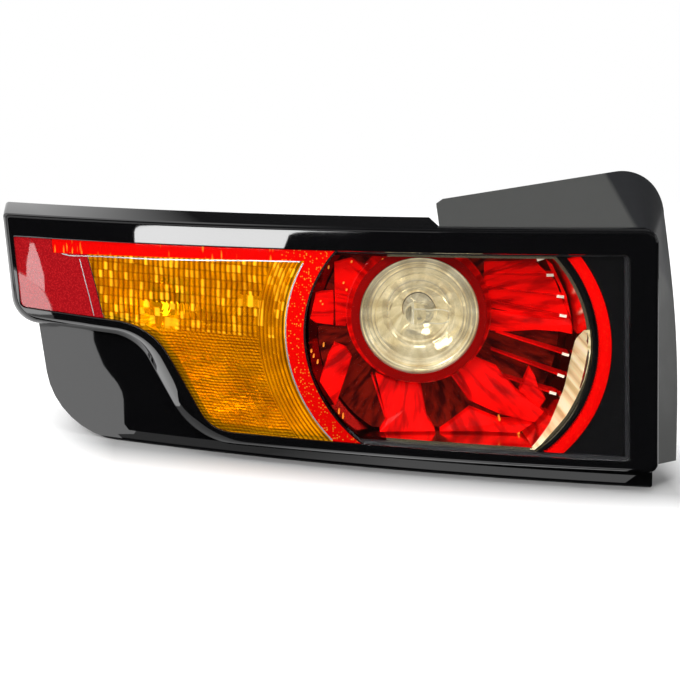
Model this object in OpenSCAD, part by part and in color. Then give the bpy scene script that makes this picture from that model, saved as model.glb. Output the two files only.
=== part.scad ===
// Rear lamp cluster for the left side of a car: a swept gloss-black bezel round an amber, red and
// clear lens, a round stop lamp with a bladed red filter, and a small clear reverse lamp inside it.
// X runs inboard, Y into the car, Z up. Outlines are drawn in X and Z and cut to the swept face; the
// datum planes are X = 0 and Z = 0, and the whole is then lifted so that its base stands at zero.

/* [Swept face] */
// Plan radius of the front face
sweep_r = 1460; // [1400:10:1560]
// Sweep angle of the face at the datum plane X = 0
sweep_deg = 24.3; // [23.5:0.1:25]

/* [Lens window] */
// Height of the window's top edge at the datum
lens_top = 141.5; // [138:0.5:144]
// Height of the window's bottom edge at the datum
lens_bottom = 15.4; // [15:0.1:17]
// Outboard end of the window at mid height
lens_out = -208; // [-212:1:-200]
// Height of the shelf, where the window's bottom edge steps up
shelf_z = 83.7; // [80:0.5:88]
// Where the S-curve meets the bottom edge
foot_x = -81.6; // [-90:1:-76]
// Steepness of the S-curve
swoosh_deg = 61; // [55:1:68]
// Rise of the top edge towards the inboard end
rise_deg = 2.26; // [1.5:0.1:3]
// Thickness of the lens
lens_t = 2.8; // [2.2:0.1:3.2]
// How far the lens sits behind the bezel's face
lens_drop = 1; // [0.6:0.1:1.4]

/* [Bezel] */
// Width of the bezel's band above the lens
band_top = 14; // [11:0.5:17]
// Width of the band at the inboard end
band_in = 15.4; // [12:0.2:17]
// Width of the band below the lens
band_low = 5.7; // [5:0.1:7]
// Width of the band along the S-curve
band_swoosh = 6; // [5:0.5:8]
// Width of the band at the outboard end
band_out = 2.6; // [2:0.2:5]
// Wall of the bezel
bezel_t = 2.2; // [1.8:0.1:2.6]
// Depth of the bezel's roof, from the face
roof_depth = 39; // [32:1:46]

/* [Round lamp] */
// Centre of the round lamp across the car
round_x = 65.3; // [62:0.5:68]
// Centre of the round lamp in height
round_z = 86.2; // [84:0.2:90]
// Outer radius of the dish
dish_r = 87; // [82:0.2:90]
// Black band between the dish and the tail ring
ring_gap = 4.6; // [4.2:0.1:6]
// Radial width of the tail ring's lit guide
guide_w = 7.3; // [6:0.1:8]
// Width of the black deck between the tail ring and the window's inboard end
deck_w = 9.8; // [6:0.2:13]
// Wall of the reflectors
mirror_t = 1.8; // [1.5:0.1:2.2]
// Space between the dish's back and the housing
dish_room = 6; // [5:0.5:8]
// Number of paddles on the red filter
paddles = 8; // [6:1:10]
// Width of a paddle
paddle_w = 23; // [18:1:26]
// Ribs in each gap between paddles
ribs_per_gap = 3; // [1:1:4]

/* [Reverse lamp] */
// Centre of the reverse lamp across the car
reverse_x = 51; // [49:0.5:54]
// Centre of the reverse lamp in height
reverse_z = 98.7; // [97:0.1:102]
// Radius of the reverse lens
reverse_r = 38; // [33:0.5:39]
// Y of the reverse lens's rim
reverse_y = -2; // [-3:0.5:0]
// Turn of the reverse lamp and filter towards the outboard side
inner_yaw = 6; // [4:1:8]

/* [Housing] */
// Depth of the housing, from the face
housing_depth = 58; // [54:1:64]
// Wall of the housing
wall = 2.5; // [2:0.1:3]
// Width of the rim that the lens is welded to
rim_w = 1.6; // [1.4:0.1:2.6]
// Where the flat back of the round chamber starts, across the car
flat_x = 26; // [22:1:30]
// Depth of the lower panel's front, from the face
panel_drop = 12; // [11:0.5:13]
// How far the lower panel's base hangs below the datum
base_low = 3.3; // [2:0.1:5]
// Wall of the lower panel
panel_t = 2.5; // [2:0.1:2.8]
// Depth of the lower panel's base
base_depth = 58; // [45:1:66]

/* [Aperture trim] */
// Wall of the aperture trim
trim_t = 2.5; // [2:0.1:3]
// Height of the trim's crown over the bezel
trim_rise = 25.6; // [18:0.2:28]
// How far the trim's flank spreads inboard of the bezel
flank_out = 22.4; // [20:0.2:28]

/* [Bulbs and fixings] */
// Bore for a twist-in bulb holder
holder_bore = 34; // [32:0.5:36]
// Radius of a bayonet bulb's glass
globe_r = 12.5; // [12:0.1:13]
// Turn bulb across the car
turn_x = -109; // [-114:1:-104]
// Turn bulb in height
turn_z = 95; // [92:1:99]
// Diameter of the fixing studs
stud_d = 6; // [5:1:8]
// Height between the two fixing studs
stud_pitch = 78; // [70:1:84]
// Diameter of the locating pin
pin_d = 10; // [8:0.5:12]
// Number of terminals in the connector
terminals = 6; // [4:1:8]
// Number of LEDs along the tail strip
strip_leds = 12; // [8:1:14]

/* [Clearances] */
// Gap between neighbouring lens colours and along the weld line
seam = 0.2; // [0.1:0.05:0.3]
// Gap between the lens and the bezel's window
lens_gap = 0.3; // [0.2:0.05:0.5]
// Gap between rigid pieces that fit together
fit = 0.3; // [0.2:0.05:0.4]

/* [Hidden] */
$fn = 96;

sweep_fn = 1440;
axis_x = sweep_r * sin(sweep_deg);
axis_y = sweep_r * cos(sweep_deg);
far_front = -140;
far_back = 240;
far_low = -50;
far_high = 300;
far_in = 260;
through = 60;
ring_r = dish_r + ring_gap + guide_w;
lens_in = round_x + ring_r + deck_w;

// Colours
gloss_black = [0.03, 0.03, 0.035];
matt_black = [0.16, 0.165, 0.17];
tail_red = [0.85, 0.02, 0.02, 0.8];
reflex_red = [0.6, 0.02, 0.05];
amber = [0.95, 0.6, 0.05, 0.8];
clear = [0.9, 0.92, 0.95, 0.35];
chrome = [0.85, 0.82, 0.74];
mould_grey = [0.3, 0.31, 0.32];
foam = [0.12, 0.12, 0.13];
board_green = [0.1, 0.35, 0.2];
nickel = [0.75, 0.73, 0.7];

// Y of the swept face at x, moved back by drop
function face_y(x, drop = 0) = axis_y - sqrt(pow(sweep_r - drop, 2) - pow(x - axis_x, 2));
// Turn of the face's rear normal at x
function face_yaw(x, drop = 0) = asin((axis_x - x) / (sweep_r - drop));
function unit(v) = v / norm(v);
function mix(a, b, t) = a + (b - a) * t;

// An outline is six edges, each a point and a direction, taken clockwise from the top
TOP = 0; IN = 1; LOW = 2; SWOOSH = 3; SHELF = 4; OUT = 5;
in_lean = 1.7;
out_lean = 4.4;
low_rise = 0.3;
shelf_rise = 1.8;
shelf_mid = -160;
mid_z = 82;
window = [[[0, lens_top], rise_deg], [[lens_in, mid_z], in_lean - 90], [[0, lens_bottom], 180 + low_rise],
    [[foot_x, lens_bottom], 180 - swoosh_deg], [[shelf_mid, shelf_z], 180 - shelf_rise],
    [[lens_out, (lens_top + shelf_z) / 2], 90 + out_lean]];
window_radii = [1.5, 3, 3, 22, 40, 4];
bands = [band_top, band_in, band_low, band_swoosh, band_swoosh, band_out];
crest_radii = [2, 7, 5.5, 45, 34, 14];
chamfers = [1.4, 2.1, 3.6, 8.1, 5, 3];
edge_radii = [3, 8, 7, 44, 29, 17];
chamfer_drops = [2, 2, 2.5, 5.5, 7, 5];
skirt_min = panel_drop - fit;
side_skirt = 9.5;
skirts = [roof_depth, side_skirt, side_skirt, skirt_min, skirt_min, skirt_min];
CONVEX = [1, 1, 1, 1, -1, 1];

// Edges moved inwards, by one distance or one for each edge
function moved(edges, d) = [for (i = [0:len(edges) - 1])
    let (a = edges[i][1], by = is_list(d) ? d[i] : d) [edges[i][0] + by * [sin(a), -cos(a)], a]];
function cross2(a, b) = a.x * b.y - a.y * b.x;
function meet(e, f) = let (u = [cos(e[1]), sin(e[1])], v = [cos(f[1]), sin(f[1])])
    e[0] + u * cross2(f[0] - e[0], v) / cross2(u, v);
function corners(edges) = let (n = len(edges)) [for (i = [0:n - 1]) meet(edges[(i + n - 1) % n], edges[i])];
function shrunk(radii, d) = [for (i = [0:5]) max(radii[i] - CONVEX[i] * d, 0.4)];

// Round corner a, between p and b, as n + 1 points
function arc_points(p, a, b, r, n) = let (u = unit(p - a), v = unit(b - a), half = acos(u * v) / 2,
    c = a + unit(u + v) * r / sin(half), s = a + u * r / tan(half) - c, e = a + v * r / tan(half) - c,
    from = atan2(s.y, s.x), by = (atan2(e.y, e.x) - from + 540) % 360 - 180)
    [for (i = [0:n]) c + r * [cos(from + by * i / n), sin(from + by * i / n)]];
function rounded(pts, radii, n = 8) = let (m = len(pts)) [for (i = [0:m - 1])
    each arc_points(pts[(i + m - 1) % m], pts[i], pts[(i + 1) % m], radii[i], n)];
function outline(edges, radii, n = 8) = rounded(corners(edges), radii, n);

// Edges with the bottom one turned by a
function low_turned(edges, a) = [for (i = [0:5]) i == LOW ? [edges[i][0], edges[i][1] + a] : edges[i]];
crest_turn = 0.3;
edge_turn = 0.2;
crest = low_turned(moved(window, -bands), crest_turn);
edge = low_turned(moved(crest, -chamfers), edge_turn);
function window_in(d) = outline(moved(window, d), shrunk(window_radii, d));
function edge_in(d) = outline(moved(edge, d), shrunk(edge_radii, d));

left_x = min([for (p = edge_in(0)) p.x]);
edge_right = max([for (p = edge_in(0)) p.x]);

module placed() translate([-mid_x, -mid_y, base_low]) children();

// Solid between two depths behind the face
module shell(near, far_side) difference() {
    translate([axis_x, axis_y, -60]) cylinder(r = sweep_r - near, h = 320, $fn = sweep_fn);
    translate([axis_x, axis_y, -61]) cylinder(r = sweep_r - far_side, h = 322, $fn = sweep_fn);
}
module prism(path, y0 = far_front, y1 = far_back)
    translate([0, y1, 0]) rotate([90, 0, 0]) linear_extrude(y1 - y0) polygon(path);
module inboard_of(x) translate([x, far_front, far_low]) cube([far_in, far_back - far_front, far_high]);
module rod(x, z, r, y0 = far_front, y1 = far_back)
    translate([x, y1, z]) rotate([90, 0, 0]) cylinder(r = r, h = y1 - y0);
module tube(x, z, r_out, r_in, y0 = far_front, y1 = far_back) difference() {
    rod(x, z, r_out, y0, y1);
    rod(x, z, r_in, y0 - 1, y1 + 1);
}
// Turned piece about an axis along Y; the profile gives radius and y
module turned(x, z, profile) translate([x, 0, z]) rotate([90, 0, 0])
    rotate_extrude() polygon([for (p = profile) [p[0], -p[1]]]);
// Frame at a point whose z axis looks forward, with its back turned inboard by yaw and up by pitch
module aimed(at, yaw, pitch = 0) translate(at) rotate([pitch, 0, -yaw]) rotate([90, 0, 0]) children();

// Solid swept round a closed loop: rings of points, the last joined to the first
module loop_solid(rings) {
    m = len(rings);
    n = len(rings[0]);
    polyhedron([for (ring = rings) each ring], [for (j = [0:m - 1], i = [0:n - 1])
        let (a = j * n + i, b = j * n + (i + 1) % n, k = (j + 1) % m, c = k * n + (i + 1) % n, d = k * n + i)
        each [[a, b, c], [a, c, d]]], convexity = 6);
}

// Stations round an outline, at the same places on the window, the crest and the outer edge
ARC = 5;
step_x = 58;
step_half = 2;
spans = [0, 2, 9, 1, 3, 1];
function straight(a, b, n) = [for (i = [1:1:n]) mix(a, b, i / (n + 1))];
function on_top(a, x) = [x, a.y + (x - a.x) * tan(rise_deg)];
function top_stations(a, b) = concat(straight(a, on_top(a, step_x - step_half), 8),
    [on_top(a, step_x - step_half), on_top(a, step_x + step_half)],
    straight(on_top(a, step_x + step_half), b, 4));
function stations(edges, radii) = let (c = corners(edges),
    arcs = [for (i = [0:5]) arc_points(c[(i + 5) % 6], c[i], c[(i + 1) % 6], radii[i], ARC)])
    [for (i = [0:5]) let (a = arcs[i][ARC], b = arcs[(i + 1) % 6][0])
        each concat(arcs[i], i == TOP ? top_stations(a, b) : straight(a, b, spans[i]))];
TOP_COUNT = 14;
front_y = face_y(max([for (p = stations(crest, crest_radii)) p.x]));
// Values given at the corners, spread over the stations; the top may step at step_x
function spread(v, stepped = false) = [for (i = [0:5]) let (n = i == TOP ? TOP_COUNT : spans[i], b = v[(i + 1) % 6])
    each concat([for (j = [0:ARC]) v[i]], [for (j = [1:1:n])
        i == TOP && stepped ? (j <= TOP_COUNT - 5 ? v[i] : b) : mix(v[i], b, j / (n + 1))])];
function ring3(pts, drops) = [for (i = [0:len(pts) - 1])
    [pts[i].x, face_y(pts[i].x, is_list(drops) ? drops[i] : drops), pts[i].y]];

module front_bezel() color(gloss_black) {
    win = stations(window, window_radii);
    out = stations(edge, edge_radii);
    inside = stations(moved(edge, bezel_t), shrunk(edge_radii, bezel_t));
    skirt = spread(skirts, true);
    drops = spread(chamfer_drops);
    loop_solid([ring3(win, 0), ring3(stations(crest, crest_radii), 0), ring3(out, drops), ring3(out, skirt),
        ring3(inside, skirt), ring3(inside, [for (d = drops) d + bezel_t / 2]),
        ring3(stations(moved(crest, bezel_t), shrunk(crest_radii, bezel_t)), bezel_t), ring3(win, bezel_t)]);
}

// Lower panel: gloss-black skin under the S-curve, with a base that the lamp stands on
panel_lap = 4;
panel_end = 1.2;
panel_side = [-190, 40];
panel_lean = 7.4;
function reversed(e) = [e[0], e[1] - 180];
lap_edges = moved(edge, panel_lap);
panel_edges = [reversed(lap_edges[SHELF]), reversed(lap_edges[SWOOSH]), reversed(lap_edges[LOW]),
    [[edge_right - panel_end, 0], -90], [[0, -base_low], 180], [panel_side, 90 + panel_lean]];
panel_radii = [3, 30, 44, 2, 1.5, 48];
panel_walls = [-9, -9, -9, panel_t, panel_t, panel_t];
panel_inner_radii = [3, 30, 44, 2, 0.4, 48 - panel_t];
rib_xs = [-150, -118];
module lower_panel() color(gloss_black) {
    skin = outline(panel_edges, panel_radii);
    intersection() {
        prism(skin);
        shell(panel_drop, panel_drop + panel_t);
    }
    intersection() {
        difference() {
            prism(skin, far_front, back_y);
            prism(outline(moved(panel_edges, panel_walls), panel_inner_radii));
            prism(edge_in(bezel_t));
        }
        shell(panel_drop + 1, panel_drop + base_depth);
    }
    // Stiffening ribs behind the skin
    intersection() {
        difference() {
            prism(outline(moved(panel_edges, 1), panel_radii));
            prism(edge_in(bezel_t));
        }
        shell(panel_drop + 1, panel_drop + 14);
        union() for (x = rib_xs) translate([x, far_front, -base_low])
            cube([panel_t, far_back - far_front, shelf_z + base_low - 14]);
    }
}

// Lens: four colours of one swept sheet, each cut to its own zone of the window
lens_back = lens_drop + lens_t;
strip_end = -184;
strip_fall = 3;
strip_line = [[-90, 129.7], 180 + 3];
reflex_line = [[-155.4, 105.4], 90 + 13.4];
strip_tab = [-172, 123.2];
strip_tab_r = 7;
function side_poly(e, d, depth = 400) = let (m = moved([e], d)[0], u = [cos(m[1]), sin(m[1])], n = [sin(m[1]), -cos(m[1])])
    [m[0] - 200 * u, m[0] + 200 * u, m[0] + 200 * u - depth * n, m[0] - 200 * u - depth * n];

// Everything above the strip's lower line, grown downwards by d, from its outboard end inwards
module strip_side(d) difference() {
    prism(side_poly(reversed(strip_line), d));
    prism(side_poly([[strip_end, lens_top], 94], -d));
}
module reflex_side(d) prism(side_poly(reflex_line, d));
module round_side(r) {
    rod(round_x, round_z, r);
    inboard_of(round_x);
}
module lens_sheet(near = lens_drop, far_side = lens_back) intersection() {
    prism(window_in(lens_gap));
    shell(near, far_side);
}

module outer_lens() color(clear) intersection() {
    lens_sheet();
    round_side(dish_r);
}

// Red strip along the top, running down into the arc beside the round lamp
flute_pitch = 5;
flute_w = 2;
flute_h = 0.8;
module strip_zone(d) difference() {
    union() {
        strip_side(-d);
        rod(round_x, round_z, ring_r - d);
    }
    round_side(dish_r + seam + d);
}
module tail_strip_lens() color(tail_red) {
    intersection() {
        lens_sheet();
        strip_zone(0);
    }
    intersection() {
        prism(window_in(lens_gap + rim_w + fit));
        strip_zone(rim_w);
        shell(lens_back - seam, lens_back + flute_h);
        union() for (x = [strip_end + 12:flute_pitch:-40])
            translate([x, far_front, 100]) cube([flute_w, far_back - far_front, 60]);
    }
}

module reflex_reflector() color(reflex_red) {
    difference() {
        intersection() {
            lens_sheet();
            reflex_side(0);
        }
        strip_side(seam);
    }
    // Prism block behind the honeycomb field
    difference() {
        intersection() {
            prism(window_in(lens_gap + rim_w + fit));
            shell(lens_back - seam, lens_back + 1.6);
            reflex_side(-9);
        }
        strip_side(4);
    }
}

// Amber lens with its flutes: upright ones outboard, rings beside the round lamp, bars below
module amber_zone(d, margin) difference() {
    prism(window_in(margin));
    round_side(ring_r + d);
    strip_side(d);
    reflex_side(d);
}
amber_ring_pitch = 4.4;
amber_rings = 5;
amber_bar_top = 78;
module turn_lens() color(amber) {
    intersection() {
        shell(lens_drop, lens_back);
        amber_zone(seam, lens_gap);
    }
    intersection() {
        amber_zone(rim_w, lens_gap + rim_w + fit);
        shell(lens_back - seam, lens_back + flute_h);
        union() {
            for (x = [-145:flute_pitch:-62]) translate([x, far_front, amber_bar_top])
                cube([flute_w, far_back - far_front, 60]);
            for (i = [0:amber_rings - 1]) let (r = ring_r + 5 + i * amber_ring_pitch)
                tube(round_x, round_z, r + flute_w, r);
            for (z = [22:flute_pitch:amber_bar_top - 4]) difference() {
                translate([-120, far_front, z]) cube([90, far_back - far_front, flute_w]);
                rod(round_x, round_z, ring_r + 5 + amber_rings * amber_ring_pitch);
            }
        }
    }
}

// Rear housing
rim_at = lens_back + seam;
drum_r = dish_r + 3;
drum_back = face_y(flat_x, housing_depth);
dish_back = drum_back - dish_room;
flange_at = panel_drop + panel_t + fit;
flange_t = 3;
seal_t = 5;
seal_w = 5;
feet_x = [-62, 20, 100, lens_in - 14];
cap_back = -4;
cap_len = 17;
glass_len = 28;
filter_at = 15;
stop_x = 98;
stop_room = 2;
filter_back_y = reverse_y + filter_at / cos(inner_yaw) - (stop_x - globe_r - reverse_x) * tan(inner_yaw);
stop_deep = max(0, filter_back_y + stop_room + cap_back + cap_len + glass_len - drum_back);
stop_at = [stop_x, drum_back + stop_deep, 50];
globe_reach = cap_back + cap_len + glass_len - globe_r;
turn_seat = turn_x + globe_reach * sin(face_yaw(turn_x, housing_depth));
turn_at = [turn_seat, face_y(turn_seat, housing_depth), turn_z];
turn_yaw = face_yaw(turn_seat, housing_depth);
reverse_bulb_yaw = 30;
reverse_bulb_pitch = -8;
reverse_tip = [reverse_x - 4, reverse_y + 6, reverse_z + 0.3];
reverse_seat = (drum_back + 3.5 - reverse_tip.y) / (cos(reverse_bulb_yaw) * cos(reverse_bulb_pitch));
reverse_bore = 26;
boss_wall = 4;
boss_out = 7;
stud_x = lens_in - 14;
stud_seat = 8;
stud_boss_r = 8;
stud_len = 24;
stud_head_r = stud_d / 2 + 1.6;
seat_groove = 0.6;
groove_deep = 0.6;
stud_foot = -2;
pin_x = -168;
pin_z = 108;
pin_seat = face_y(pin_x, housing_depth) + 8;
pin_len = 18;
pin_root = 8;
pin_root_r = pin_d / 2 - groove_deep;
socket_at = [flat_x + 28, drum_back, lens_bottom + 15.6];
socket_lip = 2;
socket_w = 12 + 5 * terminals;
socket_h = 20;
socket_depth = 18;
screw_ring = dish_r - 18;
screw_spots = [[round_x + 30, lens_top - 9.7], [flat_x + 20, round_z - 22],
    [round_x + screw_ring * cos(15), round_z - screw_ring * sin(15)]];
screw_r = 2;
screw_grip = 8;
cap_spots = [[round_x + 65, round_z + 30], [round_x - 3, lens_top - 17]];
cap_r = 6;

// Height of the middle of the housing's floor at x
function floor_mid(x) = lens_bottom + x * tan(low_rise) + lens_gap + rim_w / 2;
module at_turn() aimed(turn_at, turn_yaw) children();
module at_stop() aimed(stop_at, 0) children();
module at_reverse() aimed(reverse_tip, reverse_bulb_yaw, reverse_bulb_pitch) translate([0, 0, -reverse_seat]) children();
module at_socket() aimed(socket_at, 0) children();
module holder_boss(bore, inward = 3) translate([0, 0, -boss_out])
    cylinder(r = bore / 2 + boss_wall, h = boss_out + inward);
module holder_hole(bore) translate([0, 0, -boss_out - 1]) cylinder(r = bore / 2, h = boss_out + through);

module rear_housing() color(mould_grey) difference() {
    union() {
        difference() {
            union() {
                intersection() {
                    prism(window_in(lens_gap));
                    shell(rim_at, housing_depth);
                }
                intersection() {
                    prism(window_in(lens_gap));
                    rod(round_x, round_z, drum_r, -20, drum_back);
                    shell(rim_at, 200);
                }
            }
            intersection() {
                prism(window_in(lens_gap + rim_w));
                union() {
                    shell(-20, housing_depth - wall);
                    rod(round_x, round_z, drum_r - wall, far_front, drum_back - wall);
                }
            }
        }
        // Flange behind the bezel's skirt
        intersection() {
            difference() {
                prism(edge_in(bezel_t + fit));
                prism(window_in(lens_gap + 1));
            }
            shell(flange_at, flange_at + flange_t);
        }
        // Feet that stand on the panel's base
        intersection() {
            shell(flange_at + flange_t + seal_t + fit, flange_at + 36);
            union() for (x = feet_x) translate([x, far_front, panel_t - base_low])
                cube([flange_t, far_back - far_front, floor_mid(x) + base_low - panel_t]);
        }
        difference() {
            union() {
                at_turn() holder_boss(holder_bore);
                at_stop() holder_boss(holder_bore, 2 + stop_deep);
                at_reverse() holder_boss(reverse_bore, 8);
            }
            rod(round_x, round_z, drum_r - wall, far_front, drum_back - wall);
        }
        difference() {
            union() {
                for (s = [-1, 1]) rod(stud_x, round_z + s * stud_pitch / 2, stud_boss_r, -20, stud_seat);
                rod(pin_x, pin_z, stud_boss_r, pin_seat - 22, pin_seat);
            }
            shell(0, housing_depth - wall);
        }
    }
    at_turn() holder_hole(holder_bore);
    at_stop() holder_hole(holder_bore);
    at_reverse() holder_hole(reverse_bore);
    at_socket() translate([0, 0, -1]) cube([socket_w - 4, socket_h - 4, 20], center = true);
    for (s = [-1, 1]) rod(stud_x, round_z + s * stud_pitch / 2, stud_head_r, stud_foot, stud_seat + 1);
    rod(pin_x, pin_z, pin_root_r, pin_seat - pin_root, pin_seat + 1);
    for (p = screw_spots) rod(p.x, p.y, screw_r, drum_back - wall - 1, drum_back + 1);
    for (p = cap_spots) rod(p.x, p.y, cap_r / 2, drum_back - wall - 1, drum_back + 1);
}

module body_seal() color(foam) intersection() {
    difference() {
        prism(edge_in(bezel_t + 1));
        prism(edge_in(bezel_t + seal_w));
        prism(window_in(0));
    }
    shell(flange_at + flange_t, flange_at + flange_t + seal_t);
}

// Inner bezel: the black surround of the round lamp
lip_w = 1.4;
bezel_in = lens_gap + rim_w + fit;
sleeve_r = dish_r + fit;
sleeve_t = 1.8;
tray_at = 9;
tray_t = 2.4;
deck_at = 5.5;
module right_half() intersection() {
    inboard_of(round_x);
    children();
}
module inner_bezel() color(gloss_black) intersection() {
    prism(window_in(bezel_in));
    union() {
        intersection() {
            tube(round_x, round_z, sleeve_r + sleeve_t, sleeve_r);
            shell(rim_at + fit, tray_at + tray_t);
        }
        right_half() intersection() {
            tube(round_x, round_z, ring_r + fit + sleeve_t, sleeve_r);
            shell(tray_at, tray_at + tray_t);
        }
        right_half() intersection() {
            tube(round_x, round_z, ring_r + fit + sleeve_t, ring_r + fit);
            shell(deck_at, tray_at + tray_t);
        }
        right_half() difference() {
            shell(deck_at, deck_at + 2);
            rod(round_x, round_z, ring_r + fit);
        }
        difference() {
            intersection() {
                tube(round_x, round_z, sleeve_r + 1, dish_r - lip_w);
                shell(rim_at + fit, rim_at + fit + 2);
            }
            inboard_of(round_x);
        }
    }
}

// Tail ring: a red light guide with a knurled inner and outer edge
ring_teeth = 120;
tooth_h = 0.8;
module toothed(r, by) let (n = ring_teeth * 2)
    polygon([for (i = [0:n - 1]) (r + (i % 2 == 0 ? 0 : by)) * [cos(i * 360 / n), sin(i * 360 / n)]]);
module ring_light_guide() color(tail_red) right_half() intersection() {
    prism(window_in(bezel_in));
    shell(rim_at + fit + 0.3, tray_at - fit);
    translate([round_x, far_back, round_z]) rotate([90, 0, 0]) linear_extrude(far_back - far_front) difference() {
        toothed(ring_r, -tooth_h);
        toothed(ring_r - guide_w, tooth_h);
    }
}

// Dish: a turned bowl with a flat roof and floor where the window cuts it
dish_front = 7;
dish_knee = 16;
bowl_steps = 9;
module bowl(r, back, knee, extra = 0) turned(round_x, round_z, concat([[0, far_front], [r, far_front]],
    [for (i = [bowl_steps:-1:0]) let (q = r * i / bowl_steps) [q, back - (back - knee) * pow(q / r, 2)]]));
module dish_space(d) intersection() {
    bowl(dish_r - mirror_t - d, dish_back - mirror_t - d, dish_knee - mirror_t / 2 - d);
    prism(window_in(bezel_in + mirror_t + d));
}
stop_bore = 2 * globe_r + 3;
module dish_reflector() color(chrome) difference() {
    union() {
        difference() {
            intersection() {
                bowl(dish_r, dish_back, dish_knee);
                prism(window_in(bezel_in));
                shell(dish_front, 200);
            }
            dish_space(0);
        }
        // Posts that take the fixing screws
        difference() {
            for (p = screw_spots) rod(p.x, p.y, screw_r + 2.5, 20, drum_back - wall);
            dish_space(0);
        }
    }
    at_stop() translate([0, 0, -5]) cylinder(r = stop_bore / 2, h = through);
    at_reverse() translate([0, 0, -5]) cylinder(r = reverse_bore / 2, h = through);
    for (p = screw_spots) rod(p.x, p.y, screw_r, drum_back - wall - screw_grip - 1, drum_back);
}

module dish_screws() color(nickel) for (p = screw_spots) {
    rod(p.x, p.y, screw_r, drum_back - wall - screw_grip, drum_back + 1);
    rod(p.x, p.y, screw_r * 2, drum_back, drum_back + 2.5);
}

// Frame of the reverse lamp and filter, seen from the front: x right, y up, z forward
module inner_frame(back = 0) aimed([reverse_x, reverse_y, reverse_z], inner_yaw)
    translate([0, 0, -back]) children();
collar_t = 2.2;
collar_r = reverse_r + fit + collar_t;
filter_t = 2.2;
filter_r = dish_r - 9.4;
filter_to = [(round_x - reverse_x) / cos(inner_yaw) - filter_at * tan(inner_yaw), round_z - reverse_z];
paddle_root = 3;
paddle_tip = 11;
rib_t = 1.4;

// Outline of a paddle that narrows at its waist and flares towards the rim
function paddle_half(r) = paddle_w / 2 * (1 - 0.16 * sin(180 * (r - collar_r) / 40) + 0.3 * pow(max(0, r - 58) / 40, 2));
module paddle_shape() polygon(concat([for (r = [collar_r - 4:7:collar_r + 66]) [r, paddle_half(r)]],
    [for (r = [collar_r + 66:-7:collar_r - 4]) [r, -paddle_half(r)]]));
module red_filter() color(tail_red) intersection() {
    dish_space(fit);
    shell(dish_front, 200);
    inner_frame(filter_at) difference() {
        union() {
            translate([filter_to.x, filter_to.y, -filter_t]) cylinder(r = filter_r, h = filter_t);
            // Paddles, with tops that rise towards the rim
            intersection() {
                rotate_extrude() polygon([[collar_r - 2, -filter_t], [collar_r - 2, paddle_root],
                    [filter_r + 30, paddle_tip + 4], [filter_r + 30, -filter_t]]);
                translate([filter_to.x, filter_to.y, -filter_t]) cylinder(r = filter_r + 1, h = 40);
                union() for (i = [0:paddles - 1]) rotate([0, 0, i * 360 / paddles])
                    translate([0, 0, -1]) linear_extrude(30) paddle_shape();
            }
            // Ribs that run out to the dish's wall
            intersection() {
                rotate_extrude() polygon([[collar_r - 1, -filter_t], [collar_r - 1, 2], [filter_r + 40, 11],
                    [filter_r + 40, -filter_t]]);
                union() for (i = [0:paddles - 1], k = [1:ribs_per_gap])
                    rotate([0, 0, (i + 0.5) * 360 / paddles + (k - (ribs_per_gap + 1) / 2) * 9])
                        translate([collar_r - 2, -rib_t / 2, -filter_t]) cube([110, rib_t, 30]);
            }
        }
        translate([0, 0, -50]) cylinder(r = collar_r + fit, h = 100);
    }
}

module reverse_collar() color(tail_red) intersection() {
    dish_space(fit);
    inner_frame() difference() {
        union() {
            translate([0, 0, -80]) cylinder(r = collar_r, h = 80);
            translate([0, 0, -2]) cylinder(r = collar_r + 3, h = 2);
        }
        translate([0, 0, -90]) cylinder(r = reverse_r + fit, h = 100);
    }
}

lens_crown = 4;
module reverse_lens() color(clear) inner_frame() rotate_extrude() polygon(concat([[0, -3], [reverse_r, -3],
    [reverse_r, 0]], [for (q = [34, 33, 28, 27, 19.5, 18.5, 10, 0]) [q * reverse_r / 37,
        lens_crown * (1 - pow(q / 37, 2)) + (q == 33 || q == 27 || q == 18.5 ? -0.5 : 0)]]));

cup_rim = 4;
cup_root = 16;
cup_depth = min(34, dish_back - mirror_t - fit - reverse_y - cup_rim - mirror_t - cup_root * sin(inner_yaw));
module reverse_reflector() color(chrome) difference() {
    inner_frame() rotate_extrude() polygon(concat([[reverse_r, -cup_rim]],
        [for (i = [0:7]) let (q = mix(reverse_r - mirror_t, cup_root, i / 7))
            [q, -cup_rim - cup_depth * (1 - pow((q - cup_root) / (reverse_r - mirror_t - cup_root), 2))]],
        [[0, -cup_rim - cup_depth], [0, -cup_rim - cup_depth - mirror_t]],
        [for (i = [7:-1:0]) let (q = mix(reverse_r, cup_root, i / 7))
            [q, -cup_rim - mirror_t - cup_depth * (1 - pow((q - cup_root) / (reverse_r - cup_root), 2))]]));
    at_reverse() cylinder(r = neck_r + fit, h = 70);
}

// Turn lamp's reflector: a fluted pan behind the amber lens
turn_front = 8;
turn_back = 40;
pan_flute_r = 3.4;
pan_flute_pitch = 6;
module turn_reflector() color(chrome) difference() {
    union() {
        difference() {
            intersection() {
                amber_zone(1.5, bezel_in);
                shell(turn_front, turn_back);
            }
            intersection() {
                amber_zone(1.5 + mirror_t, bezel_in + mirror_t);
                shell(-10, turn_back - mirror_t);
            }
        }
        intersection() {
            amber_zone(1.5, bezel_in);
            shell(turn_back - mirror_t - 1.4, turn_back);
            union() for (x = [-148:pan_flute_pitch:-40])
                translate([x, face_y(x, turn_back), 0]) cylinder(r = pan_flute_r, h = 150);
        }
    }
    at_turn() translate([0, 0, -5]) cylinder(r = stop_bore / 2, h = through);
}

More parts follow.
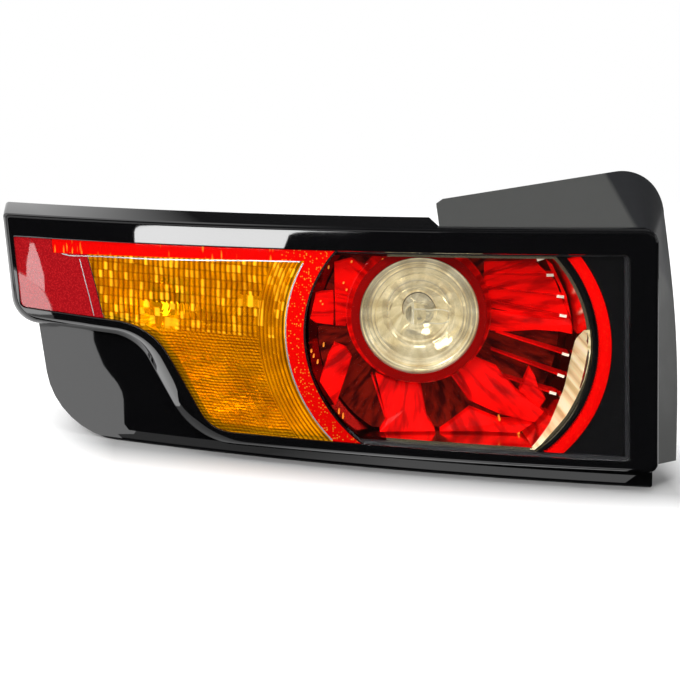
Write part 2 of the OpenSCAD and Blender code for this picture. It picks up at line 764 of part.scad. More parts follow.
// Tail strip: white light box, LED board behind it, LEDs on the board
box_t = 0.9;
board_at = 16;
board_t = 1.6;
led = [3.2, 1.4, 1.6];
module box_zone(d) intersection() {
    prism(window_in(bezel_in + d));
    difference() {
        union() {
            strip_side(-seam - d);
            rod(round_x, round_z, ring_r - seam - d);
        }
        round_side(sleeve_r + sleeve_t + fit + d);
    }
}
module strip_light_box() color("white") difference() {
    intersection() {
        box_zone(0);
        shell(lens_back + flute_h + seam, board_at - 0.2);
    }
    intersection() {
        box_zone(box_t);
        shell(0, board_at + 5);
    }
}
module tail_led_board() color(board_green) intersection() {
    box_zone(0);
    shell(board_at, board_at + board_t);
}
led_arc_r = (ring_r + sleeve_r + sleeve_t) / 2;
led_arc_step = 11;
module led_at(x, z) translate([x, face_y(x, board_at), z]) rotate([0, 0, -face_yaw(x, board_at)])
    translate([-led.x / 2, -led.y - 0.05, -led.z / 2]) cube(led);
module tail_leds() color("lightyellow") {
    for (i = [0:strip_leds - 1]) let (x = mix(strip_end + 14, round_x - ring_r - 12, i / (strip_leds - 1)))
        led_at(x, (lens_top + x * tan(rise_deg) - bezel_in + strip_line[0].y + (x - strip_line[0].x) * tan(3)) / 2);
    for (a = [158:led_arc_step:216]) led_at(round_x + led_arc_r * cos(a), round_z + led_arc_r * sin(a));
}

// Bayonet bulbs: glass, cap and holder in the holder's frame, whose origin is the housing's wall
cap_r_b = 7.5;
module bulb_glass() color([0.95, 0.95, 0.9, 0.4]) translate([0, 0, cap_back + cap_len])
    rotate_extrude() polygon(concat([[0, 0], [cap_r_b - 0.8, 0]], [for (i = [0:8]) let (a = -50 + i * 140 / 8)
        [globe_r * cos(a), glass_len - globe_r + globe_r * sin(a)]]));
module bulb_cap() color(nickel) translate([0, 0, cap_back]) {
    cylinder(r = cap_r_b, h = cap_len);
    for (s = [0, 180]) rotate([0, 90, s]) translate([-cap_len / 2 + 1, 0, cap_r_b - 1]) cylinder(r = 1, h = 2);
}
holder_disc_t = 4;
gasket_t = 2;
holder_reach = 12;
module holder(bore, well_r, well_from, slots = true) color(gloss_black) difference() {
    union() {
        translate([0, 0, -boss_out - gasket_t - holder_disc_t]) cylinder(r = bore / 2 + 4, h = holder_disc_t);
        translate([0, 0, -boss_out - gasket_t]) cylinder(r = bore / 2 - fit, h = boss_out + gasket_t + holder_reach - 6);
        translate([-bore / 2, -2.5, -boss_out - gasket_t - holder_disc_t - 8]) cube([bore, 5, 8.5]);
    }
    translate([0, 0, well_from]) cylinder(r = well_r, h = through);
    if (slots) for (s = [0, 180]) rotate([0, 0, s]) translate([0, -1.3, cap_back])
        cube([cap_r_b + 1.3, 2.6, through]);
}
module gasket(bore) translate([0, 0, -boss_out - gasket_t]) difference() {
    cylinder(r = bore / 2 + 3, h = gasket_t);
    translate([0, 0, -1]) cylinder(r = bore / 2, h = gasket_t + 2);
}
module turn_bulb_glass() at_turn() bulb_glass();
module turn_bulb_cap() at_turn() bulb_cap();
module turn_bulb_holder() at_turn() holder(holder_bore, cap_r_b + fit, cap_back);
module stop_bulb_glass() at_stop() bulb_glass();
module stop_bulb_cap() at_stop() bulb_cap();
module stop_bulb_holder() at_stop() holder(holder_bore, cap_r_b + fit, cap_back);
module holder_seals() color(foam) {
    at_turn() gasket(holder_bore);
    at_stop() gasket(holder_bore);
    at_reverse() gasket(reverse_bore);
}

// Wedge bulb of the reverse lamp, lying aslant so that its side shows through the lens
wedge_w = 14;
wedge_t = 4;
wedge_glass_r = 7;
wedge_len = 33;
wedge_from = reverse_seat - wedge_len;
neck_r = 9.2;
module reverse_bulb() color([0.95, 0.95, 0.9, 0.4]) at_reverse() difference() {
    union() {
        translate([-wedge_w / 2, -wedge_t / 2, wedge_from]) cube([wedge_w, wedge_t, 12]);
        translate([0, 0, wedge_from + 9]) cylinder(r = wedge_glass_r, h = wedge_len - 9 - wedge_glass_r);
        translate([0, 0, wedge_from + wedge_len - wedge_glass_r]) sphere(r = wedge_glass_r);
    }
    translate([0, 0, wedge_from + 12]) cylinder(r = wedge_glass_r - 1, h = wedge_len - 13 - wedge_glass_r);
}
module reverse_bulb_filament() color(nickel) at_reverse() {
    for (s = [-1, 1]) translate([s * 3, 0, wedge_from + 12]) cylinder(r = 0.45, h = 12);
    translate([-3.45, 0, wedge_from + 24]) rotate([0, 90, 0]) cylinder(r = 0.6, h = 6.9);
}
module reverse_bulb_holder() at_reverse() color(gloss_black) difference() {
    union() {
        holder(reverse_bore, 0.5, 100, false);
        cylinder(r = neck_r, h = wedge_from + 5);
    }
    translate([-wedge_w / 2 - fit, -wedge_t / 2 - fit, wedge_from])
        cube([wedge_w + 2 * fit, wedge_t + 2 * fit, 40]);
}

// Connector: shroud on the housing's back, and its blades
blade = [0.8, 2.8, 15];
module connector_socket() color(gloss_black) at_socket() difference() {
    union() {
        translate([-socket_w / 2, -socket_h / 2, -socket_depth]) cube([socket_w, socket_h, socket_depth]);
        translate([-socket_w / 2 + 2 + fit, -socket_h / 2 + 2 + fit, -1])
            cube([socket_w - 4 - 2 * fit, socket_h - 4 - 2 * fit, 5]);
        translate([-socket_w / 2 - socket_lip, -socket_h / 2 - socket_lip, -2])
            cube([socket_w + 2 * socket_lip, socket_h + 2 * socket_lip, 2]);
    }
    translate([-socket_w / 2 + 2, -socket_h / 2 + 2, -socket_depth - 1])
        cube([socket_w - 4, socket_h - 4, socket_depth - 2]);
    for (i = [0:terminals - 1]) translate([(i - (terminals - 1) / 2) * 5, 0, 0]) cube([blade.x, blade.y, 60], center = true);
}
module connector_pins() color(nickel) at_socket()
    for (i = [0:terminals - 1]) translate([(i - (terminals - 1) / 2) * 5 - blade.x / 2, -blade.y / 2, -12]) cube(blade);

// Each stud has a moulded-in head, a groove at its seat and a plain shank
module mounting_studs() color(nickel) for (s = [-1, 1]) let (z = round_z + s * stud_pitch / 2) {
    rod(stud_x, z, stud_head_r, stud_foot, stud_seat);
    rod(stud_x, z, stud_d / 2 - groove_deep, stud_seat - 1, stud_seat + seat_groove + 1);
    rod(stud_x, z, stud_d / 2, stud_seat + seat_groove, stud_seat + stud_len);
}
module locating_pin() color(gloss_black) union() {
    rod(pin_x, pin_z, pin_root_r, pin_seat - pin_root, pin_seat + seat_groove + 1);
    rod(pin_x, pin_z, pin_d / 2, pin_seat + seat_groove, pin_seat + pin_len - pin_d / 4);
    translate([pin_x, pin_seat + pin_len - pin_d / 4, pin_z]) rotate([-90, 0, 0])
        cylinder(r1 = pin_d / 2, r2 = pin_d / 3, h = pin_d / 4);
}
module breather_caps() color(gloss_black) for (p = cap_spots) {
    rod(p.x, p.y, cap_r / 2 - fit, drum_back - wall, drum_back + 1);
    rod(p.x, p.y, cap_r, drum_back, drum_back + 6);
}

// Aperture trim: a sheet from behind the bezel's edge out to a rim, round the top and inboard side
trim_lap = 1.5;
trim_foot = 12;
rim_foot_z = 8.8;
rim_x = edge_right + flank_out;
trim_tip = 62;
rim_slope = 8;
rim_corner_r = 28;
rim_bulge = 4;
rim_tuck = 0.5;
rim_front = 27;
rim_run = 0.333;
rim_back = 84;
flank_n = 7;
trim_arc_n = 7;
trim_top_n = 8;
function trim_root() = let (c = corners(moved(edge, trim_lap)), r = edge_radii[1] - trim_lap,
    a = arc_points(c[2], c[1], c[0], r, trim_arc_n), foot = mix(c[2], c[1], (trim_foot - c[2].y) / (c[1].y - c[2].y)),
    tip = [trim_tip, c[0].y + (trim_tip - c[0].x) * tan(rise_deg)])
    concat([for (i = [0:flank_n - 1]) mix(foot, a[0], i / flank_n)], a,
        [for (i = [1:trim_top_n]) mix(a[trim_arc_n], tip, i / trim_top_n)]);
function trim_rim() = let (foot = [rim_x - rim_bulge, rim_foot_z], top_z = corners(edge)[1].y + trim_rise,
    c = [rim_x - rim_bulge - rim_tuck, top_z + 2], tip = [trim_tip + 1, c.y - (c.x - trim_tip) * tan(rim_slope)],
    a = arc_points(foot, c, tip, rim_corner_r, trim_arc_n))
    concat([for (i = [0:flank_n - 1]) mix(foot, a[0], i / flank_n) + [rim_bulge * sin(180 * i / flank_n), 0]], a,
        [for (i = [1:trim_top_n]) mix(a[trim_arc_n], tip, i / trim_top_n)]);
function rim_y(z) = front_y + min(rim_front + z * rim_run, rim_back);
TRIM_K = 3;
trim_drop = skirts[1] + fit;
function trim_grid() = let (a = trim_root(), b = trim_rim()) [for (j = [0:len(a) - 1])
    let (p = [a[j].x, face_y(a[j].x, trim_drop), a[j].y], q = [b[j].x, rim_y(b[j].y), b[j].y])
    [for (k = [0:TRIM_K]) mix(p, q, k / TRIM_K)]];
function grid_normal(g, j, k) = let (m = len(g) - 1, n = len(g[0]) - 1)
    unit(cross(g[min(j + 1, m)][k] - g[max(j - 1, 0)][k], g[j][min(k + 1, n)] - g[j][max(k - 1, 0)]));
module sheet_solid(g, t) {
    m = len(g);
    n = len(g[0]);
    inner = [for (j = [0:m - 1]) [for (k = [0:n - 1]) g[j][k] + t * grid_normal(g, j, k)]];
    half = m * n;
    border = concat([for (j = [0:m - 1]) j * n], [for (k = [1:n - 1]) (m - 1) * n + k],
        [for (j = [m - 2:-1:0]) j * n + n - 1], [for (k = [n - 2:-1:1]) k]);
    polyhedron(concat([for (row = g) each row], [for (row = inner) each row]),
        concat([for (j = [0:m - 2], k = [0:n - 2]) let (a = j * n + k, b = a + 1, c = a + n + 1, d = a + n)
            each [[a, c, b], [a, d, c], [half + a, half + b, half + c], [half + a, half + c, half + d]]],
        [for (i = [0:len(border) - 1]) let (a = border[i], b = border[(i + 1) % len(border)])
            each [[a, half + b, b], [a, half + a, half + b]]]), convexity = 6);
}
web_z = [40, 85, 130];
web_front = 30;
module aperture_trim() color(matt_black) {
    sheet_solid(trim_grid(), trim_t);
    // Webs between the flank and the housing's side
    for (z = web_z) let (a = trim_root()[0], ax = a.x - (z - trim_foot) * tan(in_lean), p = [ax, face_y(ax, trim_drop)],
        bx = rim_x - rim_bulge + rim_bulge * sin(180 * z / 160), q = [bx, rim_y(z)], d = unit(q - p),
        s = (front_y + web_front - p.y) / d.y, root = p + s * d + trim_t / 2 * [-d.y, d.x],
        end = mix(p, q, 0.8) + trim_t / 2 * [-d.y, d.x], wall_x = lens_in - lens_gap + (mid_z - z) * tan(in_lean) + fit)
        translate([0, 0, z]) linear_extrude(trim_t) polygon([root, end, [wall_x, end.y], [wall_x, root.y]]);
}

// Overall size, which sets the origin under the middle of the part
right_x = max([for (row = trim_grid()) for (p = row) p.x]);
back_y = face_y(min([for (p = window_in(lens_gap)) p.x]), housing_depth);
mid_x = (left_x + right_x) / 2;
mid_y = (front_y + back_y) / 2;

placed() front_bezel();
placed() lower_panel();
placed() aperture_trim();
placed() outer_lens();
placed() turn_lens();
placed() tail_strip_lens();
placed() reflex_reflector();
placed() rear_housing();
placed() body_seal();
placed() inner_bezel();
placed() ring_light_guide();
placed() dish_reflector();
placed() red_filter();
placed() reverse_collar();
placed() reverse_lens();
placed() reverse_reflector();
placed() turn_reflector();
placed() strip_light_box();
placed() tail_led_board();
placed() tail_leds();
placed() turn_bulb_glass();
placed() turn_bulb_cap();
placed() turn_bulb_holder();
placed() stop_bulb_glass();
placed() stop_bulb_cap();
placed() stop_bulb_holder();
placed() reverse_bulb();
placed() reverse_bulb_filament();
placed() reverse_bulb_holder();
placed() holder_seals();
placed() connector_socket();
placed() connector_pins();
placed() mounting_studs();
placed() locating_pin();
placed() dish_screws();
placed() breather_caps();
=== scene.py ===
import math
import random
import bpy
import bmesh
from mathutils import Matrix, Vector
from mathutils.bvhtree import BVHTree


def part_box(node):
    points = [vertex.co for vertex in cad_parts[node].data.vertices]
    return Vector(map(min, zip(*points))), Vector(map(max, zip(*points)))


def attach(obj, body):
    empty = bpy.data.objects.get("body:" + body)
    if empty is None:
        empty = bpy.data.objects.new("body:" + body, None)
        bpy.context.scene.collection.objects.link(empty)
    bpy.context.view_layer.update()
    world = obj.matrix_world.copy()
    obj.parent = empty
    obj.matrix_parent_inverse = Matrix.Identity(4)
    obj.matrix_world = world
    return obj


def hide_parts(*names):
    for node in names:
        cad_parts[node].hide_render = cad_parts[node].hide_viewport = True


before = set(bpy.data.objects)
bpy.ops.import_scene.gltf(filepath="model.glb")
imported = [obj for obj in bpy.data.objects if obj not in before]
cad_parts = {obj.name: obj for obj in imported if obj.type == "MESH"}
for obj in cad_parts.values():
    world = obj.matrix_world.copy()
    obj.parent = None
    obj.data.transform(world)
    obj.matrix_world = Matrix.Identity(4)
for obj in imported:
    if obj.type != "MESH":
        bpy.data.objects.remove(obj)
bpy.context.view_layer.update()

# The lamp's own layout in millimetres: X inboard, Y into the car, Z up, before its middle is moved to the origin
MID_X, MID_Y, LIFT = -0.269006, 57.7737, 3.3
SWEEP_R, SWEEP_DEG = 1460.0, 24.3
AXIS_X = SWEEP_R * math.sin(math.radians(SWEEP_DEG))
AXIS_Y = SWEEP_R * math.cos(math.radians(SWEEP_DEG))
ROUND = Vector((65.3, 86.2))
DISH_R, RING_R, RING_W = 87.0, 98.9, 7.3


def face_y(x, drop=0.0):
    """Y of the swept face at x, moved back by drop."""
    return AXIS_Y - math.sqrt((SWEEP_R - drop) ** 2 - (x - AXIS_X) ** 2)


def place(x, y, z):
    """A point of the lamp's layout as scene metres."""
    return Vector(((x - MID_X) / 1000, (y - MID_Y) / 1000, (z + LIFT) / 1000))


def swept(x, z, drop):
    return place(x, face_y(x, drop), z)


# Camera, in the layout's millimetres
AIM = Vector((0, 0, 83.6))
TURN, RISE, FAR = math.radians(-6.0), math.radians(13.3), 1472.0
FOCAL_PX, MIDDLE_PX = 2300.0, 340.0
BACK = Vector((math.sin(TURN) * math.cos(RISE), -math.cos(TURN) * math.cos(RISE), math.sin(RISE)))
RIGHT = Vector((math.cos(TURN), math.sin(TURN), 0))
UP = BACK.cross(RIGHT)
EYE = AIM + BACK * FAR


def sight(u, v):
    """Direction of the line of sight through a pixel of the photograph."""
    return (RIGHT * (u - MIDDLE_PX) + UP * (MIDDLE_PX - v) - BACK * FOCAL_PX).normalized()


def on_face(u, v, drop=0.0):
    """Where the line of sight through a pixel meets the swept face."""
    d, r = sight(u, v), SWEEP_R - drop
    ox, oy = EYE.x - AXIS_X, EYE.y - AXIS_Y
    a, b, c = d.x ** 2 + d.y ** 2, 2 * (ox * d.x + oy * d.y), ox ** 2 + oy ** 2 - r ** 2
    return EYE + d * ((-b - math.sqrt(max(b * b - 4 * a * c, 0))) / (2 * a))


# Outline of the window, as a point on each edge and the edge's direction
TAN = math.tan(math.radians(2.26))
WINDOW = [((0, 141.5), 2.26), ((174, 82), -88.3), ((0, 15.4), 180.3), ((-81.6, 15.4), 119), ((-160, 83.7), 178.2),
          ((-208, 112.6), 94.4)]

# Frame of the reverse lamp and filter, seen from the front: a to the right, b up, c forward
INNER = Vector((51, -2, 98.7))
YAW = math.radians(6)
ACROSS = Vector((math.cos(YAW), -math.sin(YAW), 0))
FORWARD = Vector((-math.sin(YAW), -math.cos(YAW), 0))
FLOOR_C, COLLAR_R, FILTER_R = -15.0, 40.5, 77.6
DISH_WALL, DISH_INSET = 3.0, 5.0


def inner(a, b, c):
    p = INNER + ACROSS * a + Vector((0, 0, b)) + FORWARD * c
    return place(*p)


def filter_top(r):
    """Height of the filter's blades, which rise towards the rim."""
    return -12 + 12 * (r - COLLAR_R) / 69


def in_dish(a, b, c):
    """The point moved, where it must be, to stay inside the dish's round wall, roof and floor."""
    mid = (ROUND.x - INNER.x + c * math.sin(YAW)) / math.cos(YAW)
    away = math.hypot(a - mid, b + INNER.z - ROUND.y)
    k = min(1.0, (DISH_R - DISH_WALL) / away)
    a, b = mid + (a - mid) * k, ROUND.y - INNER.z + (b + INNER.z - ROUND.y) * k
    x = INNER.x + a
    low = WINDOW[2][0][1] + DISH_INSET + x * math.tan(math.radians(0.3)) - INNER.z
    high = WINDOW[0][0][1] - DISH_INSET + x * math.tan(math.radians(2.26)) - INNER.z
    return a, min(max(b, low), high), c


def on_filter(u, v, lift=0.0):
    """Where the line of sight through a pixel meets the tops of the filter's blades."""
    d, c = sight(u, v), -8.0
    for _ in range(4):
        t = (c - (EYE - INNER).dot(FORWARD)) / d.dot(FORWARD)
        p = EYE + d * t - INNER
        a, b = p.dot(ACROSS), p.z
        c = filter_top(math.hypot(a, b)) + lift
    return in_dish(a, b, c)



# Outlines of the bezel, from the window's
WINDOW_R = [1.5, 3, 3, 22, 40, 4]
BANDS = [14, 15.4, 5.7, 6, 6, 2.6]
CREST_R = [2, 7, 5.5, 45, 34, 14]
CHAMFERS = [1.4, 2.1, 3.6, 8.1, 5, 3]
DROPS = [2, 2, 2.5, 5.5, 7, 5]
EDGE_R = [3, 8, 7, 44, 29, 17]
CONVEX = [1, 1, 1, 1, -1, 1]
CREST_TURN, EDGE_TURN = 0.3, 0.2


def moved(edges, by):
    """Edges moved inwards, by one distance or one for each edge."""
    out = []
    for i, (p, a) in enumerate(edges):
        d = by[i] if isinstance(by, (list, tuple)) else by
        r = math.radians(a)
        out.append(((p[0] + d * math.sin(r), p[1] - d * math.cos(r)), a))
    return out


def low_turned(edges, turn):
    return [(p, a + turn if i == 2 else a) for i, (p, a) in enumerate(edges)]


def corners(edges):
    found = []
    for i, f in enumerate(edges):
        e = edges[i - 1]
        u = (math.cos(math.radians(e[1])), math.sin(math.radians(e[1])))
        v = (math.cos(math.radians(f[1])), math.sin(math.radians(f[1])))
        d = (f[0][0] - e[0][0], f[0][1] - e[0][1])
        t = (d[0] * v[1] - d[1] * v[0]) / (u[0] * v[1] - u[1] * v[0])
        found.append(Vector((e[0][0] + u[0] * t, e[0][1] + u[1] * t)))
    return found


def shrunk(radii, d):
    return [max(r - c * d, 0.4) for r, c in zip(radii, CONVEX)]


def arc(p, a, b, r, n):
    u, v = (p - a).normalized(), (b - a).normalized()
    half = math.acos(u.dot(v)) / 2
    c = a + (u + v).normalized() * r / math.sin(half)
    s, e = a + u * r / math.tan(half) - c, a + v * r / math.tan(half) - c
    start = math.atan2(s.y, s.x)
    by = (math.atan2(e.y, e.x) - start + 3 * math.pi) % (2 * math.pi) - math.pi
    return [c + r * Vector((math.cos(start + by * i / n), math.sin(start + by * i / n))) for i in range(n + 1)]


CREST = low_turned(moved(WINDOW, [-b for b in BANDS]), CREST_TURN)
EDGE = low_turned(moved(CREST, [-c for c in CHAMFERS]), EDGE_TURN)
SPANS = [40, 14, 28, 8, 10, 6]
BEND = 12
ROOF_X, ROOF_HALF = 60.0, 0.8


def stations(edges, radii):
    """Points round an outline, at the same places on every outline of the bezel."""
    c = corners(edges)
    arcs = [arc(c[i - 1], c[i], c[(i + 1) % 6], radii[i], BEND) for i in range(6)]
    out = []
    for i in range(6):
        a, b = arcs[i][-1], arcs[(i + 1) % 6][0]
        out += arcs[i]
        if i == 0:
            lo = Vector((ROOF_X - ROOF_HALF, a.y + (ROOF_X - ROOF_HALF - a.x) * TAN))
            hi = Vector((ROOF_X + ROOF_HALF, a.y + (ROOF_X + ROOF_HALF - a.x) * TAN))
            out += [a.lerp(lo, k / 27) for k in range(1, 27)] + [lo, hi] + [hi.lerp(b, k / 13) for k in range(1, 13)]
        else:
            out += [a.lerp(b, k / (SPANS[i] + 1)) for k in range(1, SPANS[i] + 1)]
    return out


def spread(values, stepped=False):
    """Corner values spread over the stations; the top may step where the roof ends."""
    out = []
    for i in range(6):
        a, b = values[i], values[(i + 1) % 6]
        out += [a] * (BEND + 1)
        n = SPANS[i]
        for k in range(1, n + 1):
            if i == 0 and stepped:
                out.append(a if k <= 27 else b)
            else:
                out.append(a + (b - a) * k / (n + 1))
    return out


def mesh_piece(name, verts, faces, mat, smooth_deg=32, more=()):
    me = bpy.data.meshes.new(name)
    me.from_pydata([tuple(v) for v in verts], [], faces)
    me.validate()
    bm = bmesh.new()
    bm.from_mesh(me)
    bmesh.ops.recalc_face_normals(bm, faces=bm.faces)
    bm.to_mesh(me)
    bm.free()
    me.shade_smooth()
    me.set_sharp_from_angle(angle=math.radians(smooth_deg))
    for m in (mat, *more):
        me.materials.append(m)
    ob = bpy.data.objects.new(name, me)
    bpy.context.scene.collection.objects.link(ob)
    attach(ob, "root")
    return ob


def loop_faces(rings, per_ring, closed=True):
    """Quads between rings of points; the last ring joins the first where closed."""
    m = rings if closed else rings - 1
    return [(i * per_ring + j, ((i + 1) % rings) * per_ring + j, ((i + 1) % rings) * per_ring + (j + 1) % per_ring,
             i * per_ring + (j + 1) % per_ring) for i in range(m) for j in range(per_ring)]


# Node groups
def group(name, ins, outs):
    g = bpy.data.node_groups.new(name, "ShaderNodeTree")
    for n, kind, value in ins:
        s = g.interface.new_socket(name=n, in_out="INPUT", socket_type=kind)
        if value is not None:
            s.default_value = value
    for n, kind in outs:
        g.interface.new_socket(name=n, in_out="OUTPUT", socket_type=kind)
    return g, g.nodes.new("NodeGroupInput"), g.nodes.new("NodeGroupOutput")


def math_node(tree, op, a, b=0.0):
    """A Math node; a and b are sockets or numbers."""
    n = tree.nodes.new("ShaderNodeMath")
    n.operation = op
    for i, v in enumerate((a, b)):
        if isinstance(v, (int, float)):
            n.inputs[i].default_value = v
        else:
            tree.links.new(v, n.inputs[i])
    return n.outputs[0]


def between(tree, value, low, high, to_low=0.0, to_high=1.0):
    n = tree.nodes.new("ShaderNodeMapRange")
    for key, v in (("Value", value), ("From Min", low), ("From Max", high), ("To Min", to_low), ("To Max", to_high)):
        if isinstance(v, (int, float)):
            n.inputs[key].default_value = v
        else:
            tree.links.new(v, n.inputs[key])
    return n.outputs[0]


def grain_group():
    """Fine moulded grain as a height, and a slow uneven sheen as a value."""
    g, gin, gout = group("moulded_grain", [("Size", "NodeSocketFloat", 1.0), ("Low", "NodeSocketFloat", 0.3),
                                           ("High", "NodeSocketFloat", 0.4)],
                         [("Height", "NodeSocketFloat"), ("Sheen", "NodeSocketFloat")])
    n, l = g.nodes, g.links
    tc = n.new("ShaderNodeTexCoord")
    fine = n.new("ShaderNodeTexNoise")
    fine.inputs["Scale"].default_value = 900
    fine.inputs["Detail"].default_value = 3
    scale = n.new("ShaderNodeVectorMath")
    scale.operation = "SCALE"
    l.new(tc.outputs["Object"], scale.inputs[0])
    l.new(gin.outputs["Size"], scale.inputs["Scale"])
    l.new(scale.outputs[0], fine.inputs["Vector"])
    l.new(fine.outputs["Fac"], gout.inputs["Height"])
    slow = n.new("ShaderNodeTexNoise")
    slow.inputs["Scale"].default_value = 22
    slow.inputs["Detail"].default_value = 4
    l.new(tc.outputs["Object"], slow.inputs["Vector"])
    l.new(between(g, slow.outputs["Fac"], 0.3, 0.7, gin.outputs["Low"], gin.outputs["High"]), gout.inputs["Sheen"])
    return g


def ray_group():
    """Streaks that run outwards from the reverse lamp's axis, as a mask."""
    g, gin, gout = group("ray_streaks", [("Turns", "NodeSocketFloat", 9.0), ("Reach", "NodeSocketFloat", 30.0),
                                         ("Low", "NodeSocketFloat", 0.4), ("High", "NodeSocketFloat", 0.6)],
                         [("Mask", "NodeSocketFloat")])
    n, l = g.nodes, g.links
    tc = n.new("ShaderNodeTexCoord")
    xyz = n.new("ShaderNodeSeparateXYZ")
    l.new(tc.outputs["Object"], xyz.inputs[0])
    hub = place(*INNER)
    x = math_node(g, "SUBTRACT", xyz.outputs["X"], hub.x)
    z = math_node(g, "SUBTRACT", xyz.outputs["Z"], hub.z)
    turn = math_node(g, "MULTIPLY", math_node(g, "ARCTAN2", z, x), gin.outputs["Turns"])
    far = math_node(g, "SQRT", math_node(g, "ADD", math_node(g, "POWER", x, 2.0), math_node(g, "POWER", z, 2.0)))
    reach = math_node(g, "MULTIPLY", far, gin.outputs["Reach"])
    at = n.new("ShaderNodeCombineXYZ")
    l.new(turn, at.inputs["X"])
    l.new(reach, at.inputs["Y"])
    noise = n.new("ShaderNodeTexNoise")
    noise.inputs["Scale"].default_value = 1.0
    noise.inputs["Detail"].default_value = 3
    l.new(at.outputs[0], noise.inputs["Vector"])
    l.new(between(g, noise.outputs["Fac"], gin.outputs["Low"], gin.outputs["High"]), gout.inputs["Mask"])
    return g


def sparkle_group():
    """Scattered bright points, a share of the cells of a fine pattern, used as the mask of painted glints."""
    g, gin, gout = group("sparkle", [("Scale", "NodeSocketFloat", 400.0), ("Share", "NodeSocketFloat", 0.8),
                                     ("Size", "NodeSocketFloat", 0.35), ("Tall", "NodeSocketFloat", 1.0)],
                         [("Mask", "NodeSocketFloat"), ("Cells", "NodeSocketFloat")])
    n, l = g.nodes, g.links
    tc = n.new("ShaderNodeTexCoord")
    xyz = n.new("ShaderNodeSeparateXYZ")
    l.new(tc.outputs["Object"], xyz.inputs[0])
    at = n.new("ShaderNodeCombineXYZ")
    l.new(xyz.outputs["X"], at.inputs["X"])
    l.new(xyz.outputs["Y"], at.inputs["Y"])
    l.new(math_node(g, "MULTIPLY", xyz.outputs["Z"], gin.outputs["Tall"]), at.inputs["Z"])
    vor = n.new("ShaderNodeTexVoronoi")
    l.new(gin.outputs["Scale"], vor.inputs["Scale"])
    l.new(at.outputs[0], vor.inputs["Vector"])
    pick = n.new("ShaderNodeSeparateColor")
    l.new(vor.outputs["Color"], pick.inputs[0])
    chosen = math_node(g, "GREATER_THAN", pick.outputs["Red"], gin.outputs["Share"])
    near = between(g, vor.outputs["Distance"], 0.0, gin.outputs["Size"], 1.0, 0.0)
    l.new(math_node(g, "MULTIPLY", chosen, near), gout.inputs["Mask"])
    l.new(vor.outputs["Distance"], gout.inputs["Cells"])
    return g


def wave(g, at, pitch):
    """A round flute along at in millimetres: 0 in the groove, 1 on the crown."""
    return math_node(g, "ABSOLUTE", math_node(g, "SINE", math_node(g, "MULTIPLY", at, math.pi / pitch)))


def flute_group():
    """Painted light and shade of the amber lens: upright flutes in rows above, level ones below, hoops by the round
    lamp, a brighter tone in the clear blocks, and painted glints in some cells of the upper rows.
    """
    g, gin, gout = group("amber_flute_painted_light", [("Clear", "NodeSocketFloat", 0.9)],
                         [("Tone", "NodeSocketFloat"), ("Glints", "NodeSocketFloat")])
    n, l = g.nodes, g.links
    tc = n.new("ShaderNodeTexCoord")
    xyz = n.new("ShaderNodeSeparateXYZ")
    l.new(tc.outputs["Object"], xyz.inputs[0])
    x = math_node(g, "ADD", math_node(g, "MULTIPLY", xyz.outputs["X"], 1000.0), MID_X)
    z = math_node(g, "SUBTRACT", math_node(g, "MULTIPLY", xyz.outputs["Z"], 1000.0), LIFT)
    dx, dz = math_node(g, "SUBTRACT", x, ROUND.x), math_node(g, "SUBTRACT", z, ROUND.y)
    r = math_node(g, "SQRT", math_node(g, "ADD", math_node(g, "MULTIPLY", dx, dx), math_node(g, "MULTIPLY", dz, dz)))
    slow = n.new("ShaderNodeTexNoise")
    slow.inputs["Scale"].default_value = 60
    slow.inputs["Detail"].default_value = 2
    l.new(tc.outputs["Object"], slow.inputs["Vector"])
    sway = math_node(g, "MULTIPLY", slow.outputs["Fac"], 2.2)
    upright = math_node(g, "MULTIPLY", wave(g, math_node(g, "ADD", x, sway), 3.3),
                        between(g, wave(g, math_node(g, "ADD", z, sway), 5.6), 0.0, 0.35, 0.45, 1.0))
    level = math_node(g, "MULTIPLY", wave(g, math_node(g, "ADD", z, math_node(g, "MULTIPLY", sway, 1.6)), 2.0),
                      between(g, wave(g, math_node(g, "ADD", x, math_node(g, "MULTIPLY", z, 0.6)), 2.6), 0.0, 0.6, 0.5, 1.0))
    hoops = wave(g, math_node(g, "ADD", r, math_node(g, "MULTIPLY", sway, 0.2)), 2.4)
    high = math_node(g, "GREATER_THAN", z, 81.0)
    field = between(g, high, 0.0, 1.0, level, upright)
    near = math_node(g, "LESS_THAN", r, 116.0)
    tone = between(g, near, 0.0, 1.0, field, hoops)
    for block in CLEAR_BLOCKS:
        inx = math_node(g, "MULTIPLY", math_node(g, "GREATER_THAN", x, block[0]), math_node(g, "LESS_THAN", x, block[1]))
        inz = math_node(g, "MULTIPLY", math_node(g, "GREATER_THAN", z, block[2]), math_node(g, "LESS_THAN", z, block[3]))
        tone = between(g, math_node(g, "MULTIPLY", inx, inz), 0.0, 1.0, tone, gin.outputs["Clear"])
    l.new(math_node(g, "MULTIPLY", math_node(g, "POWER", tone, 1.1), between(g, slow.outputs["Fac"], 0.3, 0.7, 0.5, 1.0)),
          gout.inputs["Tone"])
    cell = n.new("ShaderNodeCombineXYZ")
    l.new(math_node(g, "FLOOR", math_node(g, "DIVIDE", math_node(g, "ADD", x, sway), 3.3)), cell.inputs["X"])
    l.new(math_node(g, "FLOOR", math_node(g, "DIVIDE", math_node(g, "ADD", z, sway), 5.6)), cell.inputs["Y"])
    pick = n.new("ShaderNodeTexWhiteNoise")
    pick.noise_dimensions = "3D"
    l.new(cell.outputs[0], pick.inputs["Vector"])
    lit = between(g, math_node(g, "POWER", pick.outputs["Value"], 3.0), 0.25, 0.9, 0.0, 1.0)
    l.new(math_node(g, "MULTIPLY", math_node(g, "MULTIPLY", lit, high), math_node(g, "POWER", tone, 2.0)),
          gout.inputs["Glints"])
    return g
